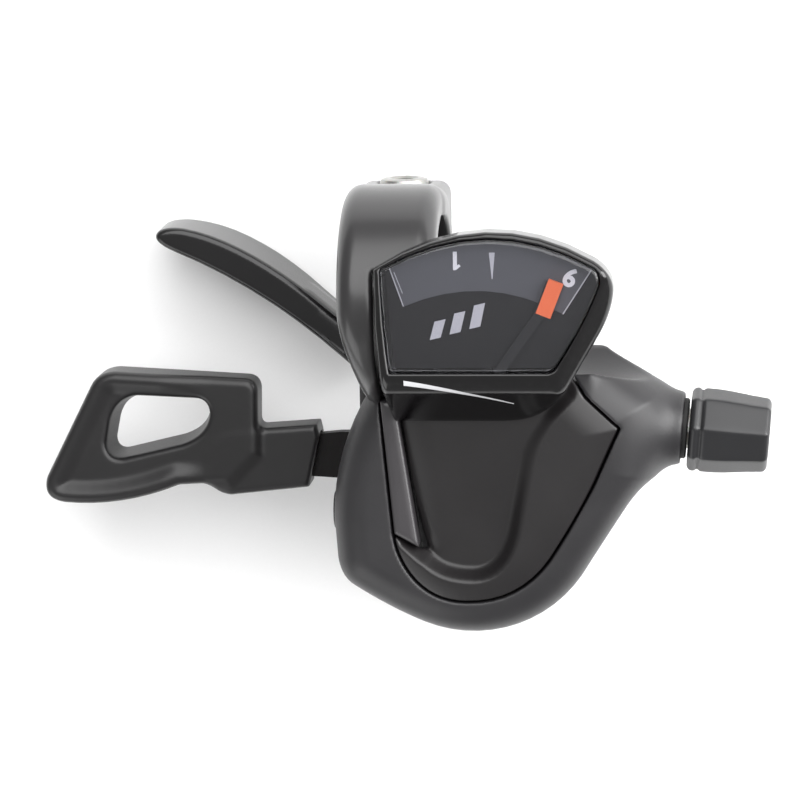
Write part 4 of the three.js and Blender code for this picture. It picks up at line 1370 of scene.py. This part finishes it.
@dataclass
class Trigger:
    """The trigger's finger loop, moulded over its steel arm."""

    foot: float = -17.8
    top: float = -10.4
    draft: float = 0.13  # how far the loop's hole opens per millimetre of height
    dish: float = 0.9  # how far its rim stands over the edge
    arm_gap: float = 0.05
    arm_half: float = 3.3  # half the width of the slot for the arm

    def outline(self) -> Outline:
        """The loop from above."""
        return Outline.drawn(
            (-32.3, 4.0), (-32.1, 13.4), (-32.3, 15.2, -34.3, 15.2), (-52.9, 16.3),
            (-55.3, 16.2, -56.3, 14.4), (-63.3, 0.8), (-64.3, -2.5, -60.8, -3.0),
            (-52.5, -3.8, -43.9, -0.4), (-36.5, -0.2), about=AXLE,
        )

    def hole(self) -> Outline:
        """The finger hole at its narrowest, from above."""
        return Outline.drawn(
            (-41.3, 11.4), (-49.7, 11.8), (-52.2, 11.6, -53.0, 8.8), (-53.6, 5.8), (-53.6, 4.2, -52.1, 4.4),
            (-43.7, 6.4), (-40.4, 7.5, -40.1, 10), (-40.1, 11.4, -41.3, 11.4), about=AXLE,
        )

    def sleeve(self) -> Outline:
        """The sleeve over the arm, from above."""
        return Outline.drawn(
            (-40.1, 4.4), (-38.6, 7.2, -35.0, 7.5), (-23.7, 8.3), (-23.3, 6.4), (-25.0, -0.9),
            (-36.4, -2.1), (-38.9, -2.0, -40.1, 0.6), about=AXLE,
        )

    def loop(self, x: Array, y: Array, z: Array) -> Array:
        """The loop and its sleeve, moulded as one.

        Args:
            x: the places' X.
            y: their Y.
            z: their Z.

        Returns:
            The distances from the surface, negative inside.
        """
        plan = self.outline().distance(x, y)
        dish = self.dish * smooth_step(plan, -3.6, -1.2) * smooth_step(-x, 28.0, 36.0)
        ring = round_max(plan, z - self.top + self.dish - dish, 1.1)
        ring = round_max(ring, self.foot - z, 1.6)
        opening = self.hole().distance(x, y) - self.draft * (z - self.foot)
        ring = cut(ring, opening, 0.8)
        sleeve = round_max(self.sleeve().distance(x, y), layer(z, self.foot - 0.6, self.top - 1.7), 0.8)
        shape = round_min(ring, sleeve, 1.2)
        shape = cut(shape, opening, 0.5)
        arm, gap = Span.of("trigger_arm"), self.arm_gap
        slot = np.maximum(np.abs(y - arm.centre[1] + 0.2) - self.arm_half, arm.low[0] - 0.3 - x)
        return np.maximum(shape, -np.maximum(slot, layer(z, arm.low[2] - gap, arm.high[2] + gap)))

    def build(self) -> None:
        """Makes the loop and ties it to the trigger."""
        loop = moulding("trigger_loop", self.loop, LOOP, 0.6, 0.3)
        settle(loop, "trigger", Finish.TRIGGER, "lever_plastic", "trigger_paddle")


# ---------------------------------------------------------------- the cable adjuster


@dataclass
class Adjuster:
    """The cable adjuster's knob, with flats to grip and a socket in its mouth, and its collar."""

    knob_from: float = 29.3  # where it starts along the cable
    length: float = 11.2
    big: float = 5.75
    small: float = 5.1
    flats: int = 8
    flat_share: float = 0.955  # the flats' distance from the axis, as a share of the radius
    corner_share: float = 1.035  # the corners' distance, the same way
    groove: tuple[float, float, float] = (1.5, 0.3, 0.35)  # where it is, its width and its depth
    seat: float = 3.2
    seat_depth: float = 5.5
    cable_hole: float = 1.4
    thread_hole: float = 3.05
    room: tuple[float, float] = (6.8, 0.3)  # what the mesh's box holds round the axis, and past the ends
    collar: tuple[float, float] = (28.1, 29.1)

    def knob(self, x: Array, y: Array, z: Array) -> Array:
        """The knob: a ring at its foot, then flats that taper and round over at the mouth.

        Args:
            x: the places' distances from its axis, across the cable.
            y: upwards.
            z: their distances along the axis.

        Returns:
            The distances from the surface, negative inside.
        """
        around = away_from(x, y)
        angle = np.arctan2(y, x)
        sector = 2 * math.pi / self.flats
        turn = (angle + sector / 4) % sector - sector / 2
        along = z - self.knob_from
        radius = self.big - (self.big - self.small) * smooth_step(along, 3.0, self.length)
        flat = around * np.cos(turn) - radius * self.flat_share
        sides = round_max(flat, around - radius * self.corner_share, 0.15)
        place, width, depth = self.groove
        groove = depth * np.exp(-(((along - place) / width) ** 2))
        shape = round_max(sides + groove, layer(z, self.knob_from, self.knob_from + self.length), 0.9)
        mouth = np.maximum(around - self.seat, self.knob_from + self.length - self.seat_depth - z)
        shape = cut(shape, mouth, 0.4)
        shape = np.maximum(shape, self.cable_hole - around)
        behind = z - self.knob_from - self.length + self.seat_depth + 1
        return np.maximum(shape, -np.maximum(around - self.thread_hole, behind))

    def build(self) -> None:
        """Makes the knob and the collar and ties them to the frame."""
        place = cable_frame()
        wide, past = self.room
        low, high = (-wide, -wide, self.knob_from - past), (wide, wide, self.knob_from + self.length + past)
        made = skin(self.knob, low, high, 0.2)
        turn = np.array(place)[:3, :3]
        points = made.points @ turn.T + np.array(place)[:3, 3]
        knob = mesh_piece("adjuster_knob", points, made.quads, made.normals @ turn.T)
        settle(knob, "barrel_adjuster", Finish.KNOB, "adjuster_plastic", "barrel_adjuster")
        start, end = self.collar
        profile = [(3.1, start), (4.0, start), (4.25, start + 0.2), (4.25, end - 0.2), (4.0, end)]
        profile += [(3.1, end), (3.1, start)]
        collar = turned("adjuster_collar_ring", profile, place, 48)
        settle(collar, "adjuster_slide", Finish.RUBBER, "rubber", "adjuster_collar")


# ---------------------------------------------------------------- the works


WORKS: dict[Finish, tuple[str, ...]] = {
    Finish.KNOB: ("cable_port_plug",),
    Finish.HOUSING: ("bottom_cap",),
    Finish.BLACK_STEEL: ("base_plate", "thumb_arm", "trigger_arm"),
    Finish.STEEL: (
        "clamp_nut", "case_screw_1", "case_screw_2", "case_screw_3", "bracket_screw", "main_axle", "axle_nut",
        "spool_spring", "thumb_spring", "trigger_spring", "trigger_pin", "holding_pawl_pin", "ratchet_wheel",
        "holding_pawl", "drive_plate", "drive_pawl", "drive_pawl_pin", "adjuster_screw",
    ),
    Finish.BRONZE: ("axle_bush",),
    Finish.NYLON: ("cable_spool",),
    Finish.RUBBER: ("thumb_stop", "indicator_needle"),
}


@dataclass
class Works:
    """The metal works, kept as the frame has them, with broken edges and their real finishes."""

    edge_mm: float = 0.12
    smooth_to: float = 32.0  # degrees between two faces that are shaded as one

    def build(self) -> None:
        """Dresses each kept node and breaks its sharp edges."""
        for finish, names in WORKS.items():
            for name in names:
                node = frame["nodes"][name]
                dress(node, finish)
                node.data.polygons.foreach_set("use_smooth", [True] * len(node.data.polygons))
                node.data.set_sharp_from_angle(angle=math.radians(self.smooth_to))
                bevel = node.modifiers.new("broken_edges", "BEVEL")
                bevel.width = self.edge_mm * MM
                bevel.segments = 2
                bevel.limit_method = "ANGLE"
                bevel.angle_limit = SHARP
                log.info("%s keeps its CAD shape", name)


# ---------------------------------------------------------------- the stage


@dataclass(frozen=True)
class SoftBox:
    """A soft box that faces the shifter."""

    name: str
    place: tuple[float, float, float]  # metres
    size: float  # metres
    watts: float

    def hang(self) -> None:
        """Hangs it in the scene."""
        light = bpy.data.lights.new(self.name, "AREA")
        light.size, light.energy = self.size, self.watts
        lamp = bpy.data.objects.new(self.name, light)
        lamp.location = self.place
        lamp.rotation_euler = (-Vector(self.place)).to_track_quat("-Z", "Y").to_euler()
        bpy.context.scene.collection.objects.link(lamp)


LIGHTS = (
    SoftBox("top_box", (0.25, 0.5, 0.75), 1.2, 15.0),
    SoftBox("side_box", (0.65, 0.15, 0.3), 0.5, 7.0),
    SoftBox("front_box", (-0.7, -0.9, 0.6), 0.9, 5.0),
)


@dataclass
class Stage:
    """The pale floor, the soft lights and the camera."""

    eye: tuple[float, float, float] = (53.9, 72.3, 495.0)
    tilt: float = 10.0  # degrees that the camera leans back from straight down
    lens_mm: float = 81.0
    zoom: float = 2.0
    sensor_mm: float = 36.0
    floor_gap: float = 0.4  # how far the floor stays under the lowest piece
    floor_half: float = 4000.0
    surround: float = 0.5  # strength of the world's light

    def floor(self) -> None:
        """A wide pale sheet just under the shifter."""
        low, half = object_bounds()[0].z / MM - self.floor_gap, self.floor_half
        corners = [(-half, -half, low), (half, -half, low), (half, half, low), (-half, half, low)]
        sheet = mesh_piece("floor", np.array(corners), [[0, 1, 2, 3]])
        dress(sheet, Finish.FLOOR)
        sheet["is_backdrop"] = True

    def lights(self) -> None:
        """Big soft boxes over the shifter and an even pale surround."""
        world = bpy.context.scene.world or bpy.data.worlds.new("studio")
        bpy.context.scene.world = world
        world.use_nodes = True
        surround = world.node_tree.nodes["Background"].inputs
        surround["Color"].default_value = (1, 1, 1, 1)
        surround["Strength"].default_value = self.surround
        for box in LIGHTS:
            box.hang()

    def camera(self) -> None:
        """A long lens over the shifter, from the rider's side and the stem's."""
        lens = bpy.data.cameras.new("camera")
        lens.sensor_width = self.sensor_mm
        lens.lens = self.lens_mm * self.zoom
        lens.clip_start, lens.clip_end = 0.05, 20.0
        made = bpy.data.objects.new("camera", lens)
        low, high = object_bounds()
        aim = (low + high) / 2
        eye = Vector(self.eye) * MM
        back = (eye - aim).normalized()
        lean = math.radians(self.tilt)
        up = Vector((0, math.cos(lean), -math.sin(lean)))
        right = up.cross(back).normalized()
        turn = Matrix((right, back.cross(right), back)).transposed().to_4x4()
        made.matrix_world = Matrix.Translation(eye) @ turn
        bpy.context.scene.collection.objects.link(made)
        bpy.context.scene.camera = made
        bpy.context.scene.view_settings.view_transform = "Standard"

    def build(self) -> None:
        """Sets the whole stage."""
        self.floor()
        self.lights()
        self.camera()


def main() -> None:
    """Builds every sub-assembly, the stage and the camera, in order."""
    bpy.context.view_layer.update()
    for assembly in (Body(), Display(), Clamp(), ThumbLever(), Trigger(), Adjuster(), Works()):
        assembly.build()
    Stage().build()


if __name__ == "__main__":
    logging.basicConfig(level=logging.INFO, format="%(name)s: %(message)s")
    main()
